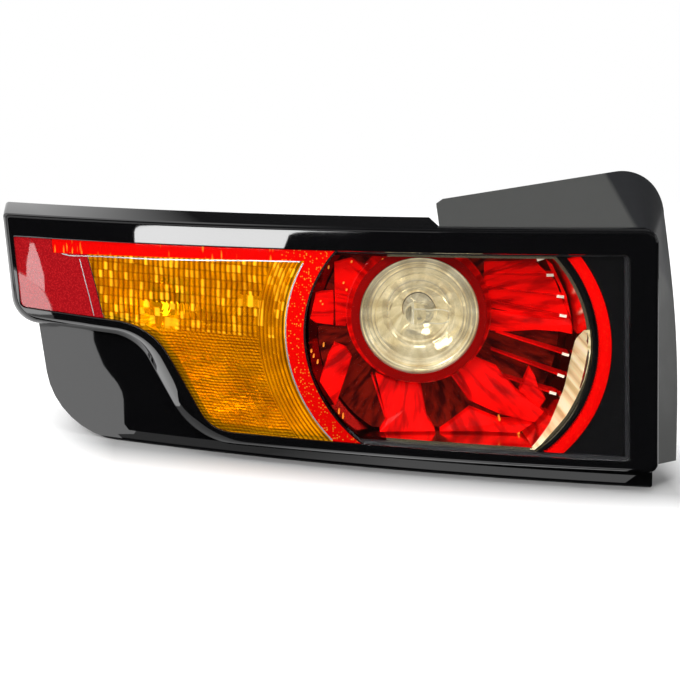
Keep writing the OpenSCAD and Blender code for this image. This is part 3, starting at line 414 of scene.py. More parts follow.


# Scene X where the dish mirror's painted dark red shade gives way to its lit colour
MIRROR_BRIGHT_FROM = 0.03
CLEAR_BLOCKS = [(-124.0, -102.0, 79.0, 98.0), (-62.5, -50.0, 100.5, 108.0)]
GRAIN, RAYS, SPARKLE, FLUTES = grain_group(), ray_group(), sparkle_group(), flute_group()


# Materials
def new_material(name):
    m = bpy.data.materials.new(name)
    m.use_nodes = True
    nt = m.node_tree
    return m, nt, nt.nodes["Principled BSDF"]


def use_group(nt, tree, **values):
    g = nt.nodes.new("ShaderNodeGroup")
    g.node_tree = tree
    for key, v in values.items():
        g.inputs[key].default_value = v
    return g


def bumped(nt, b, height, strength, distance=0.0002):
    bp = nt.nodes.new("ShaderNodeBump")
    bp.inputs["Strength"].default_value = strength
    bp.inputs["Distance"].default_value = distance
    nt.links.new(height, bp.inputs["Height"])
    nt.links.new(bp.outputs["Normal"], b.inputs["Normal"])


def two_colours(nt, mask, dark, bright):
    """Mix of two colours by a mask; each is a colour or a socket."""
    mix = nt.nodes.new("ShaderNodeMix")
    mix.data_type = "RGBA"
    nt.links.new(mask, mix.inputs["Factor"])
    for i, colour in ((6, dark), (7, bright)):
        if isinstance(colour, tuple):
            mix.inputs[i].default_value = (*colour, 1)
        else:
            nt.links.new(colour, mix.inputs[i])
    return mix.outputs[2]


def plastic(name, colour, rough=(0.3, 0.4), size=1.0, bump=0.05, specular=0.5, metallic=0.0, emission=None, coat=0.0):
    m, nt, b = new_material(name)
    b.inputs["Base Color"].default_value = (*colour, 1)
    b.inputs["Metallic"].default_value = metallic
    b.inputs["Specular IOR Level"].default_value = specular
    b.inputs["Coat Weight"].default_value = coat
    b.inputs["Coat Roughness"].default_value = 0.03
    g = use_group(nt, GRAIN, Size=size, Low=rough[0], High=rough[1])
    nt.links.new(g.outputs["Sheen"], b.inputs["Roughness"])
    if bump:
        bumped(nt, b, g.outputs["Height"], bump)
    if emission:
        b.inputs["Emission Color"].default_value = (*emission[:3], 1)
        b.inputs["Emission Strength"].default_value = emission[3]
    return m


def lens_plastic(name, colour, rough=0.02, ior=1.49, shadow=None, emission=None, specular=0.5):
    """Clear moulding that lets light through to what lies behind it."""
    m, nt, b = new_material(name)
    b.inputs["Base Color"].default_value = (*colour, 1)
    b.inputs["Roughness"].default_value = rough
    b.inputs["IOR"].default_value = ior
    b.inputs["Specular IOR Level"].default_value = specular
    b.inputs["Transmission Weight"].default_value = 1.0
    if emission:
        b.inputs["Emission Color"].default_value = (*emission[:3], 1)
        b.inputs["Emission Strength"].default_value = emission[3]
    out = nt.nodes["Material Output"]
    clear = nt.nodes.new("ShaderNodeBsdfTransparent")
    clear.inputs["Color"].default_value = (*(shadow or colour), 1)
    path = nt.nodes.new("ShaderNodeLightPath")
    mix = nt.nodes.new("ShaderNodeMixShader")
    nt.links.new(path.outputs["Is Shadow Ray"], mix.inputs["Fac"])
    nt.links.new(b.outputs["BSDF"], mix.inputs[1])
    nt.links.new(clear.outputs["BSDF"], mix.inputs[2])
    nt.links.new(mix.outputs["Shader"], out.inputs["Surface"])
    return m


def streaked(name, dark, bright, painted_glow, turns=9.0, reach=30.0, spans=(0.4, 0.6), rough=0.15, specular=0.06, bump=0.3):
    """Red filter plastic with moulded streaks that run outwards, and a painted glow: the same two colours given again
    as emission at the glow strength. Where it stands for a mirror, the bright tone is a painted reflection.
    """
    m, nt, b = new_material(name)
    b.inputs["Roughness"].default_value = rough
    b.inputs["Specular IOR Level"].default_value = specular
    g = use_group(nt, RAYS, Turns=turns, Reach=reach, Low=spans[0], High=spans[1])
    tone = two_colours(nt, g.outputs["Mask"], dark, bright)
    nt.links.new(tone, b.inputs["Base Color"])
    # Painted glow: the plastic's colour is given again as emission
    nt.links.new(tone, b.inputs["Emission Color"])
    b.inputs["Emission Strength"].default_value = painted_glow
    if bump:
        bumped(nt, b, g.outputs["Mask"], bump, 0.0006)
    return m


def sparkling(name, base, point, painted_glow, scale, share, size=0.35, tall=1.0, rough=0.1, bump=0.25, coat=0.0):
    """Red lens plastic with small painted glints, bright points of colour standing for light thrown by its back optics,
    and a painted glow, with a smooth gloss front where it has a coat.
    """
    m, nt, b = new_material(name)
    b.inputs["Roughness"].default_value = rough
    b.inputs["Specular IOR Level"].default_value = 0.0
    b.inputs["Coat Weight"].default_value = coat
    b.inputs["Coat Roughness"].default_value = 0.02
    g = use_group(nt, SPARKLE, Scale=scale, Share=share, Size=size, Tall=tall)
    # Painted glints: bright cells of the mask, given as colour and again as emission
    tone = two_colours(nt, g.outputs["Mask"], base, point)
    nt.links.new(tone, b.inputs["Base Color"])
    nt.links.new(tone, b.inputs["Emission Color"])
    b.inputs["Emission Strength"].default_value = painted_glow
    bumped(nt, b, g.outputs["Cells"], bump, 0.0005)
    return m


def strip_and_arc(name, base, point, painted_glow, arc_starts):
    """Red lens whose strip is fluted, with tall painted glints, and whose arc is covered with tiny ones; its colour has
    painted shade that darkens it towards the bottom, and it is given again as a painted glow.
    """
    m, nt, b = new_material(name)
    b.inputs["Roughness"].default_value = 0.1
    b.inputs["Specular IOR Level"].default_value = 0.0
    b.inputs["Coat Weight"].default_value = 1.0
    b.inputs["Coat Roughness"].default_value = 0.02
    b.inputs["Coat IOR"].default_value = 1.3
    tall = use_group(nt, SPARKLE, Scale=520, Share=0.78, Size=0.5, Tall=0.2)
    tiny = use_group(nt, SPARKLE, Scale=800, Share=0.76, Size=0.5, Tall=1.0)
    tc = nt.nodes.new("ShaderNodeTexCoord")
    xyz = nt.nodes.new("ShaderNodeSeparateXYZ")
    nt.links.new(tc.outputs["Object"], xyz.inputs[0])
    arc = math_node(nt, "GREATER_THAN", xyz.outputs["X"], arc_starts)
    near = between(nt, arc, 0.0, 1.0, tall.outputs["Mask"], tiny.outputs["Mask"])
    # Painted shade: the colour darkens towards the bottom
    low = between(nt, xyz.outputs["Z"], 0.02, 0.10, 0.75, 1.0)
    tone = two_colours(nt, near, base, point)
    shade = nt.nodes.new("ShaderNodeMix")
    shade.data_type = "RGBA"
    shade.blend_type = "MULTIPLY"
    shade.inputs["Factor"].default_value = 1.0
    nt.links.new(tone, shade.inputs[6])
    nt.links.new(low, shade.inputs[7])
    nt.links.new(shade.outputs[2], b.inputs["Base Color"])
    nt.links.new(shade.outputs[2], b.inputs["Emission Color"])
    b.inputs["Emission Strength"].default_value = painted_glow
    bumped(nt, b, between(nt, arc, 0.0, 1.0, tall.outputs["Cells"], tiny.outputs["Cells"]), 0.4, 0.0005)
    return m


def fluted_amber(name, dark, bright, painted_glow):
    """Amber lens plastic with the painted light and shade of its flutes in its colour, and a painted glow with painted
    glints as its emission.
    """
    m = lens_plastic(name, bright, rough=0.03, shadow=(0.98, 0.62, 0.08))
    nt = m.node_tree
    b = nt.nodes["Principled BSDF"]
    g = use_group(nt, FLUTES)
    nt.links.new(two_colours(nt, g.outputs["Tone"], dark, bright), b.inputs["Base Color"])
    # Painted glow over the flutes, with painted glints laid on top of it
    field = two_colours(nt, g.outputs["Tone"], (0.01, 0.003, 0.0), (0.34, 0.15, 0.0))
    nt.links.new(two_colours(nt, g.outputs["Glints"], field, painted_glow), b.inputs["Emission Color"])
    b.inputs["Emission Strength"].default_value = 1.0
    return m


def grain_with_painted_shade(name, left, right, top_px, foot_px):
    """Grained plastic with painted light and shade: lighter to the left of the crease whose two ends are seen at these
    pixels, darker beyond it.
    """
    m = plastic(name, left, rough=(0.5, 0.6), size=1.3, bump=0.35, specular=0.25)
    nt = m.node_tree
    b = nt.nodes["Principled BSDF"]
    across = sight(*foot_px).cross(sight(*top_px)).normalized()
    tc = nt.nodes.new("ShaderNodeTexCoord")
    dot = nt.nodes.new("ShaderNodeVectorMath")
    dot.operation = "DOT_PRODUCT"
    nt.links.new(tc.outputs["Object"], dot.inputs[0])
    dot.inputs[1].default_value = across
    past = place(*EYE).dot(across)
    # Painted shade: the lit colour before the crease, the shaded one beyond it
    side = between(nt, dot.outputs["Value"], past - 0.0015, past + 0.0015, 0.0, 1.0)
    nt.links.new(two_colours(nt, side, left, right), b.inputs["Base Color"])
    return m


def mirror_with_painted_sides(name, lit, shaded):
    """Mirror coat with painted light and shade: a bright lit colour to the right, and a shaded dark red to the left,
    where the filter stands before it.
    """
    m = plastic(name, lit, rough=(0.1, 0.18), bump=0.0, metallic=1.0)
    nt = m.node_tree
    b = nt.nodes["Principled BSDF"]
    tc = nt.nodes.new("ShaderNodeTexCoord")
    xyz = nt.nodes.new("ShaderNodeSeparateXYZ")
    nt.links.new(tc.outputs["Object"], xyz.inputs[0])
    side = math_node(nt, "GREATER_THAN", xyz.outputs["X"], MIRROR_BRIGHT_FROM)
    nt.links.new(two_colours(nt, side, shaded, lit), b.inputs["Base Color"])
    return m


PIANO_BLACK = plastic("piano_black", (0.004, 0.004, 0.0045), rough=(0.015, 0.03), bump=0.0)
PANEL_BLACK = plastic("panel_black", (0.004, 0.004, 0.0045), rough=(0.02, 0.05), bump=0.0)
TRIM_BLACK = grain_with_painted_shade("grained_black_painted_shade", (0.055, 0.056, 0.054), (0.014, 0.0145, 0.016), (609, 180), (637, 229))
HOUSING = plastic("housing_black", (0.022, 0.022, 0.024), rough=(0.45, 0.6), size=0.7, bump=0.4, specular=0.3)
HOLDER = plastic("holder_black", (0.03, 0.03, 0.032), rough=(0.35, 0.5), bump=0.3)
FOAM = plastic("seal_foam", (0.02, 0.02, 0.022), rough=(0.8, 0.95), size=2.0, bump=1.0, specular=0.2)
RUBBER = plastic("seal_rubber", (0.02, 0.02, 0.021), rough=(0.55, 0.7), bump=0.3)
MIRROR = mirror_with_painted_sides("mirror_coat", (0.8, 0.7, 0.45), (0.2, 0.004, 0.003))
TURN_MIRROR = plastic("turn_mirror", (0.95, 0.86, 0.66), rough=(0.1, 0.16), bump=0.1, size=0.3, metallic=1.0)

PLATED = plastic("nickel_plate", (0.72, 0.69, 0.62), rough=(0.2, 0.3), bump=0.1, metallic=1.0)
ZINC = plastic("zinc_plate", (0.62, 0.62, 0.58), rough=(0.3, 0.45), bump=0.2, metallic=1.0)
BOARD = plastic("board_green", (0.02, 0.16, 0.07), rough=(0.3, 0.4), bump=0.1)
LED = plastic("led_face", (0.9, 0.8, 0.45), rough=(0.3, 0.4), bump=0.0, emission=(1.0, 0.75, 0.3, 0.6))
WHITE_BOX = plastic("white_box", (0.85, 0.85, 0.82), rough=(0.5, 0.6), bump=0.2)
# Painted highlight along the lens seams: pale metal that glows
SEAM_HIGHLIGHT = plastic("seam_painted_highlight", (0.75, 0.76, 0.78), rough=(0.15, 0.25), bump=0.0, metallic=0.7,
                      emission=(0.7, 0.72, 0.75, 0.12))
SEAM_DARK = plastic("seam_dark", (0.02, 0.002, 0.002), rough=(0.2, 0.3), bump=0.0)
CLEAR = lens_plastic("clear_lens", (0.99, 0.99, 0.99), ior=1.28, shadow=(0.97, 0.97, 0.97))
AMBER = fluted_amber("amber_lens", (0.3, 0.1, 0.0), (1.0, 0.64, 0.02), (0.95, 0.5, 0.02))
# The strip, ring and reflex reds carry painted glints and a painted glow
STRIP_FLUTES = strip_and_arc("strip_lens", (0.8, 0.002, 0.0015), (1.0, 0.4, 0.03), 0.3, -0.036)
GUIDE = sparkling("ring_guide", (0.8, 0.0015, 0.001), (0.95, 0.02, 0.004), 0.3, 500, 0.6, size=0.4)
# The reverse cup's bright streaks are painted highlights, and its emission a painted glow
CUP_MIRROR = streaked("cup_mirror_painted_highlights", (0.68, 0.58, 0.38), (1.0, 0.93, 0.72), 0.26, turns=2.6, reach=40, spans=(0.36, 0.66),
                      rough=0.1, specular=0.5, bump=0.0)
CUP_MIRROR.node_tree.nodes["Principled BSDF"].inputs["Metallic"].default_value = 0.75
# The filter's reds and its collar carry a painted glow as emission
PADDLE = streaked("paddle_red", (0.3, 0.001, 0.0008), (0.95, 0.0025, 0.0015), 0.32, spans=(0.34, 0.56))
DARK_FLOOR = streaked("filter_floor", (0.035, 0.0015, 0.001), (0.16, 0.006, 0.002), 0.25, turns=14, reach=60)
RED_FLOOR = streaked("filter_red_floor", (0.28, 0.001, 0.0008), (0.6, 0.0016, 0.001), 0.25, turns=12, reach=50)
RIB_RED = streaked("rib_red", (0.4, 0.001, 0.0008), (0.85, 0.0025, 0.0015), 0.2, bump=0.0)
COLLAR = plastic("collar_red", (0.25, 0.0015, 0.001), rough=(0.15, 0.25), bump=0.0, specular=0.1,
                 emission=(0.3, 0.001, 0.001, 0.15))
# Painted highlights for the ribs' ends: pale plastic that glows
GLINT = plastic("rib_tip", (0.95, 0.85, 0.75), rough=(0.2, 0.3), bump=0.0, emission=(1.0, 0.85, 0.7, 0.35))
# Painted reflection of the lit dish wall, given as a glowing streaked colour
CRESCENT_PAINTED_LIGHT = streaked("crescent_painted_reflection", (0.55, 0.42, 0.18), (0.95, 0.85, 0.55), 0.38, turns=16, reach=20, rough=0.3,
                 specular=0.5, bump=0.2)
REFLEX = sparkling("reflex_red", (0.36, 0.006, 0.01), (0.6, 0.016, 0.02), 0.2, 800, 0.0, size=0.6, bump=0.5, coat=1.0)
REVERSE = lens_plastic("reverse_lens", (0.99, 0.97, 0.9), rough=0.01, shadow=(0.95, 0.93, 0.88))
BULB_GLASS = lens_plastic("bulb_glass", (0.99, 0.99, 0.98), rough=0.0, ior=1.2, shadow=(0.97, 0.97, 0.97))
AMBER_GLASS = lens_plastic("amber_glass", (1.0, 0.6, 0.2), rough=0.0, shadow=(0.97, 0.7, 0.4))
HOT = plastic("hot_filament", (1.0, 0.95, 0.7), rough=(0.3, 0.4), bump=0.0, emission=(1.0, 0.9, 0.5, 5.0))
# Lead wires with a painted glow
WIRE = plastic("lead_wire", (0.95, 0.9, 0.75), rough=(0.15, 0.2), bump=0.0, metallic=0.6,
               emission=(1.0, 0.92, 0.7, 0.35))
# Painted glints: orange plastic that glows
SPARK = plastic("orange_glint", (0.8, 0.25, 0.02), rough=(0.3, 0.4), bump=0.0, emission=(1.0, 0.32, 0.03, 0.6))

FINISH = {
    "front_bezel": PIANO_BLACK, "lower_panel": PANEL_BLACK, "aperture_trim": TRIM_BLACK, "outer_lens": CLEAR,
    "turn_lens": AMBER, "tail_strip_lens": STRIP_FLUTES, "reflex_reflector": REFLEX, "rear_housing": HOUSING,
    "body_seal": FOAM, "inner_bezel": PIANO_BLACK, "ring_light_guide": GUIDE, "dish_reflector": MIRROR,
    "red_filter": PADDLE, "reverse_collar": COLLAR, "reverse_lens": REVERSE, "reverse_reflector": CUP_MIRROR,
    "turn_reflector": TURN_MIRROR, "strip_light_box": WHITE_BOX, "tail_led_board": BOARD, "tail_leds": LED,
    "turn_bulb_glass": AMBER_GLASS, "turn_bulb_cap": PLATED, "turn_bulb_holder": HOLDER,
    "stop_bulb_glass": BULB_GLASS, "stop_bulb_cap": PLATED, "stop_bulb_holder": HOLDER, "reverse_bulb": BULB_GLASS,
    "reverse_bulb_filament": PLATED, "reverse_bulb_holder": HOLDER, "holder_seals": RUBBER,
    "connector_socket": HOLDER, "connector_pins": PLATED, "mounting_studs": ZINC, "locating_pin": HOLDER,
    "dish_screws": ZINC, "breather_caps": RUBBER,
}
for node, finish in FINISH.items():
    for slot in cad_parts[node].material_slots:
        slot.material = finish


# Bezel
def bezel():
    n = 2.2
    side, low = 9.5, 11.7
    win, cre, out = stations(WINDOW, WINDOW_R), stations(CREST, CREST_R), stations(EDGE, EDGE_R)
    inn = stations(moved(EDGE, n), shrunk(EDGE_R, n))
    cin = stations(moved(CREST, n), shrunk(CREST_R, n))
    skirt = spread([39, side, side, low, low, low], True)
    drop = spread(DROPS)
    verts = []

    def towards(a, b, d):
        v = b - a
        return a + v * min(0.45, d / max(v.length, 1e-6))

    for w, c, e, q, k, s, d in zip(win, cre, out, inn, cin, skirt, drop):
        run = max((e - c).length, 0.1)
        t = min(1.0, 0.35 * run)
        ct = 1.0 if (c - w).length > 2 else 0.3
        ring = [(w, n), (w, 0.45), (towards(w, c, 0.16), 0.12), (towards(w, c, 0.45), 0.0), (towards(w, c, 0.8), 0.0),
                (towards(c, w, ct + 0.4), 0.0), (towards(c, w, ct), 0.0),
                (towards(c, w, ct * 0.3), 0.04 * d / 2), (towards(c, e, t), d * t / run)]
        ring += [(c.lerp(e, f), d * f - 0.35 * math.sin(math.pi * f)) for f in (0.35, 0.5, 0.65)]
        ring += [(towards(e, c, t), d - d * t / run), (towards(e, c, t * 0.25), d - 0.15), (e, d + 0.9), (e, s - 0.4),
                 (towards(e, q, 0.4), s), (towards(q, e, 0.4), s), (q, s - 0.4), (q, d + 1.1), (k, n)]
        per_ring = len(ring)
        verts += [swept(p.x, p.y, drop_here) for p, drop_here in ring]
    ob = mesh_piece("bezel_skin", verts, loop_faces(len(win), per_ring), PIANO_BLACK, 40)
    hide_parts("front_bezel")
    return ob


bezel()

# Aperture trim
TRIM_LAP, TRIM_FOOT, TRIM_T = 1.5, 12.0, 2.5
TRIM_RISE, FLANK_OUT, RIM_FOOT_Z, TRIM_TIP, ROOT_TIP = 25.6, 22.4, 8.8, 62.0, 61.2
RIM_SLOPE, RIM_CORNER_R, RIM_BULGE, RIM_TUCK = 8.0, 28.0, 4.0, 0.5
RIM_FRONT, RIM_RUN, RIM_BACK = 27.0, 0.333, 84.0
FLANK_N, CROWN_N, PLATE_N, ACROSS_N = 28, 24, 26, 16
WEB_Z, WEB_FRONT = (40, 85, 130), 30.0
EDGE_RIGHT = max(p.x for p in stations(EDGE, EDGE_R))
FRONT_Y = face_y(max(p.x for p in stations(CREST, CREST_R)))
RIM_X = EDGE_RIGHT + FLANK_OUT
TRIM_DROP = 9.8


def trim_root():
    c = corners(moved(EDGE, TRIM_LAP))
    a = arc(c[2], c[1], c[0], EDGE_R[1] - TRIM_LAP, CROWN_N)
    foot = c[2].lerp(c[1], (TRIM_FOOT - c[2].y) / (c[1].y - c[2].y))
    tip = Vector((ROOT_TIP, c[0].y + (ROOT_TIP - c[0].x) * TAN))
    return [foot.lerp(a[0], i / FLANK_N) for i in range(FLANK_N)] + a + \
        [a[-1].lerp(tip, i / PLATE_N) for i in range(1, PLATE_N + 1)]


def trim_rim():
    foot = Vector((RIM_X - RIM_BULGE, RIM_FOOT_Z))
    c = Vector((foot.x - RIM_TUCK, corners(EDGE)[1].y + TRIM_RISE + 2))
    tip = Vector((TRIM_TIP + 1, c.y - (c.x - TRIM_TIP) * math.tan(math.radians(RIM_SLOPE))))
    a = arc(foot, c, tip, RIM_CORNER_R, CROWN_N)
    side = [foot.lerp(a[0], i / FLANK_N) + Vector((RIM_BULGE * math.sin(math.pi * i / FLANK_N), 0))
            for i in range(FLANK_N)]
    return side + a + [a[-1].lerp(tip, i / PLATE_N) for i in range(1, PLATE_N + 1)]


def rim_y(z):
    return FRONT_Y + min(RIM_FRONT + z * RIM_RUN, RIM_BACK)


def aperture_trim():
    grid = []
    for a, b in zip(trim_root(), trim_rim()):
        p = Vector((a.x, face_y(a.x, TRIM_DROP), a.y))
        q = Vector((b.x, rim_y(b.y), b.y))
        grid.append([p.lerp(q, k / ACROSS_N) for k in range(ACROSS_N + 1)])
    corner = grid[-1][-1] + (grid[-1][0] - grid[-1][-1]) * 0.12
    grid[-1] = [grid[-1][0].lerp(corner, k / ACROSS_N) for k in range(ACROSS_N + 1)]
    m, n = len(grid), ACROSS_N + 1
    back = []
    for j in range(m):
        row = []
        for k in range(n):
            u = grid[min(j + 1, m - 1)][k] - grid[max(j - 1, 0)][k]
            v = grid[j][min(k + 1, n - 1)] - grid[j][max(k - 1, 0)]
            row.append(grid[j][k] + u.cross(v).normalized() * TRIM_T)
        back.append(row)
    verts = [place(*p) for row in grid for p in row] + [place(*p) for row in back for p in row]
    half = m * n
    faces = [(j * n + k, j * n + k + 1, (j + 1) * n + k + 1, (j + 1) * n + k) for j in range(m - 1) for k in range(n - 1)]
    faces += [tuple(half + i for i in reversed(f)) for f in faces]
    rim = [j * n for j in range(m)] + [(m - 1) * n + k for k in range(1, n)] + \
        [j * n + n - 1 for j in range(m - 2, -1, -1)] + [k for k in range(n - 2, 0, -1)]
    faces += [(rim[i], rim[(i + 1) % len(rim)], half + rim[(i + 1) % len(rim)], half + rim[i]) for i in range(len(rim))]
    for z in WEB_Z:
        foot = trim_root()[0]
        ax = foot.x - (z - TRIM_FOOT) * math.tan(math.radians(1.7))
        p = Vector((ax, face_y(ax, TRIM_DROP)))
        q = Vector((RIM_X - RIM_BULGE + RIM_BULGE * math.sin(math.radians(180 * z / 160)), rim_y(z)))
        d = (q - p).normalized()
        off = Vector((-d.y, d.x)) * TRIM_T * 0.6
        root = p + d * ((FRONT_Y + WEB_FRONT - p.y) / d.y) + off
        end = p.lerp(q, 0.8) + off
        wall = 174 - 0.3 + (82 - z) * math.tan(math.radians(1.7)) + 0.3
        flat = [root, end, Vector((wall, end.y)), Vector((wall, root.y))]
        base = len(verts)
        verts += [place(w.x, w.y, z) for w in flat] + [place(w.x, w.y, z + TRIM_T) for w in flat]
        faces += [(base, base + 3, base + 2, base + 1), (base + 4, base + 5, base + 6, base + 7)]
        faces += [(base + i, base + (i + 1) % 4, base + 4 + (i + 1) % 4, base + 4 + i) for i in range(4)]
    ob = mesh_piece("trim_sheet", verts, faces, TRIM_BLACK, 50)
    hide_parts("aperture_trim")
    return ob


aperture_trim()

# Amber lens: a smooth front, and a back moulded with flutes
LENS_DROP, LENS_T, LENS_GAP, SEAM = 1.0, 2.8, 0.3, 0.2
AMBER_ROWS, AMBER_COLUMNS = 150, 220
STRIP_LINE = (-90.0, 129.7, math.tan(math.radians(3)))
REFLEX_LINE = (-155.4, 105.4, math.tan(math.radians(13.4)))
FIELD_LEFT, FIELD_LOW, PILLOW_LOW = -150.0, 80.0, 64.0
RING_FLUTES = (RING_R + 2.5, RING_R + 17.5)
UPRIGHT, HOOP, PILLOW, BAR = 3.6, 2.6, 3.8, 2.5
FAN_BLOCK = (-80.0, -50.0, 90.0, 117.0)
LOUVRES = (-124.0, -84.0, 98.0, 122.0)


def inside(x, z, block):
    return block[0] <= x <= block[1] and block[2] <= z <= block[3]


def ripple(t, pitch):
    """Height of a round flute at t, from 0 in the groove to 1 on the crown."""
    return abs(math.sin(math.pi * t / pitch))


def flute_height(x, z):
    r = math.hypot(x - ROUND.x, z - ROUND.y)
    if r < RING_FLUTES[0]:
        return 0.1
    if r < RING_FLUTES[1]:
        return 0.75 * ripple(r - RING_FLUTES[0], HOOP)
    if any(inside(x, z, block) for block in CLEAR_BLOCKS):
        return 0.5
    if inside(x, z, FAN_BLOCK):
        a = math.atan2(z - FAN_BLOCK[2] + 30, x - FAN_BLOCK[0] + 8)
        return 0.8 * ripple(a * 60, 3.4)
    if inside(x, z, LOUVRES):
        return 0.5 * ripple(x, UPRIGHT) + 0.6 * ((z - LOUVRES[2]) / 8 % 1.0)
    if z > FIELD_LOW:
        return 0.9 * ripple(x - FIELD_LEFT, UPRIGHT)
    if z > PILLOW_LOW:
        return 0.9 * ripple(x + (round(z / PILLOW) % 2) * PILLOW / 2, PILLOW) * ripple(z, PILLOW)
    return 0.5 * ripple(z, BAR) + 0.35 * ripple(x + z * 0.5, 7.0)


def amber_lens():
    frame_line = [p for i, c in enumerate([corners(moved(WINDOW, LENS_GAP))])
                  for k in range(6) for p in arc(c[k - 1], c[k], c[(k + 1) % 6], shrunk(WINDOW_R, LENS_GAP)[k], 16)]

    def left(z):
        found = []
        for p, q in zip(frame_line, frame_line[1:] + frame_line[:1]):
            if (p.y - z) * (q.y - z) <= 0 and abs(p.y - q.y) > 1e-9:
                found.append(p.x + (q.x - p.x) * (z - p.y) / (q.y - p.y))
        edge = min(found) if found else min(frame_line, key=lambda p: p.y).x
        return max(edge, REFLEX_LINE[0] - (z - REFLEX_LINE[1]) * REFLEX_LINE[2] + SEAM)

    def right(z):
        return ROUND.x - math.sqrt((RING_R + SEAM) ** 2 - (z - ROUND.y) ** 2)

    def level(s, x):
        low = WINDOW[2][0][1] + LENS_GAP + x * math.tan(math.radians(0.3))
        high = STRIP_LINE[1] - SEAM + (x - STRIP_LINE[0]) * STRIP_LINE[2]
        return low + (high - low) * s

    points = []
    for j in range(AMBER_ROWS + 1):
        s = j / AMBER_ROWS
        a, b = -100.0, 0.0
        for _ in range(8):
            a, b = left(level(s, a)), right(level(s, b))
        row = []
        for i in range(AMBER_COLUMNS + 1):
            x = a + (b - a) * i / AMBER_COLUMNS
            row.append((x, level(s, x)))
        points.append(row)
    m, n = AMBER_ROWS + 1, AMBER_COLUMNS + 1
    verts = [swept(x, z, LENS_DROP) for row in points for x, z in row]
    for j, row in enumerate(points):
        for i, (x, z) in enumerate(row):
            rim = min(j, m - 1 - j, i, n - 1 - i) < 2
            verts.append(swept(x, z, LENS_DROP + LENS_T + (0 if rim else flute_height(x, z))))
    half = m * n
    front = [(j * n + i, j * n + i + 1, (j + 1) * n + i + 1, (j + 1) * n + i) for j in range(m - 1) for i in range(n - 1)]
    faces = front + [tuple(half + i for i in reversed(f)) for f in front]
    rim = list(range(n)) + [j * n + n - 1 for j in range(1, m)] + \
        [(m - 1) * n + i for i in range(n - 2, -1, -1)] + [j * n for j in range(m - 2, 0, -1)]
    faces += [(rim[i], half + rim[i], half + rim[(i + 1) % len(rim)], rim[(i + 1) % len(rim)]) for i in range(len(rim))]
    ob = mesh_piece("turn_lens_flutes", verts, faces, AMBER, 60)
    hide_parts("turn_lens")
    return ob


amber_lens()


# Seam lines between the lens colours: dark lines, and pale glowing lines that are painted highlights
def ribbon(name, path, width, drop, deep, mat):
    """A narrow raised line on the swept face, along points of x and z."""
    verts, m = [], len(path)
    for i, p in enumerate(path):
        d = (path[min(i + 1, m - 1)] - path[max(i - 1, 0)]).normalized()
        side = Vector((-d.y, d.x)) * width / 2
        a, b = p + side, p - side
        verts += [swept(a.x, a.y, drop), swept(b.x, b.y, drop), swept(b.x, b.y, drop + deep), swept(a.x, a.y, drop + deep)]
    faces = loop_faces(m, 4, closed=False) + [(0, 1, 2, 3), tuple(4 * m - 1 - i for i in range(4))]
    return mesh_piece(name, verts, faces, mat, 30)


def ring_path(r, from_deg, to_deg, n=60):
    out = []
    for i in range(n + 1):
        a = math.radians(from_deg + (to_deg - from_deg) * i / n)
        out.append(ROUND + r * Vector((math.cos(a), math.sin(a))))
    return out


def pixel_path(points, drop):
    found = [on_face(u, v, drop) for u, v in points]
    return [Vector((p.x, p.z)) for p in found]


AMBER_TOP_PX = [(62, 253.6), (70, 255.6), (100, 256.4), (150, 259), (200, 260.2), (250, 260.6), (300, 261.6)]
REFLEX_LIGHT_PX = [(79.6, 259), (84.2, 277), (90, 299), (94, 315.5)]
REFLEX_DARK_PX = [(87.8, 258), (95.7, 286), (102.4, 314)]
ribbon("amber_arc_seam", ring_path(RING_R + 0.1, 152.5, 225), 0.9, 0.8, 0.5, SEAM_HIGHLIGHT)
ribbon("arc_dark_line", ring_path(DISH_R + 0.2, 139, 234.5), 1.2, 0.8, 0.6, SEAM_DARK)
ribbon("amber_top_seam", pixel_path(AMBER_TOP_PX, 1), 0.7, 0.85, 0.4, SEAM_HIGHLIGHT)
ribbon("reflex_light_seam", pixel_path(REFLEX_LIGHT_PX, 1), 0.5, 0.85, 0.4, SEAM_HIGHLIGHT)
ribbon("reflex_dark_seam", pixel_path(REFLEX_DARK_PX, 1), 0.6, 0.85, 0.4, SEAM_DARK)


# Red filter: blades, ribs and floor round the reverse lamp
def filter_block(name, outline_px, mat, lift=0.0, crown=1.0, chamfer=0.7):
    """A blade whose outline is seen through the lens, standing on the filter's floor, with a faceted top."""
    top = [on_filter(u, v, lift) for u, v in outline_px]
    n = len(top)
    ca, cb = sum(p[0] for p in top) / n, sum(p[1] for p in top) / n
    verts = [inner(*in_dish(a, b, FLOOR_C)) for a, b, c in top]
    verts += [inner(a, b, c - chamfer) for a, b, c in top]
    for a, b, c in top:
        d = math.hypot(ca - a, cb - b)
        verts.append(inner(a + (ca - a) * chamfer / d, b + (cb - b) * chamfer / d, c))
    verts.append(inner(ca, cb, sum(p[2] for p in top) / n + crown))
    verts.append(inner(ca, cb, FLOOR_C))
    faces = []
    for i in range(n):
        k = (i + 1) % n
        faces += [(i, k, n + k, n + i), (n + i, n + k, 2 * n + k, 2 * n + i), (2 * n + i, 2 * n + k, 3 * n),
                  (i, 3 * n + 1, k)]
    return mesh_piece(name, verts, faces, mat, 20)


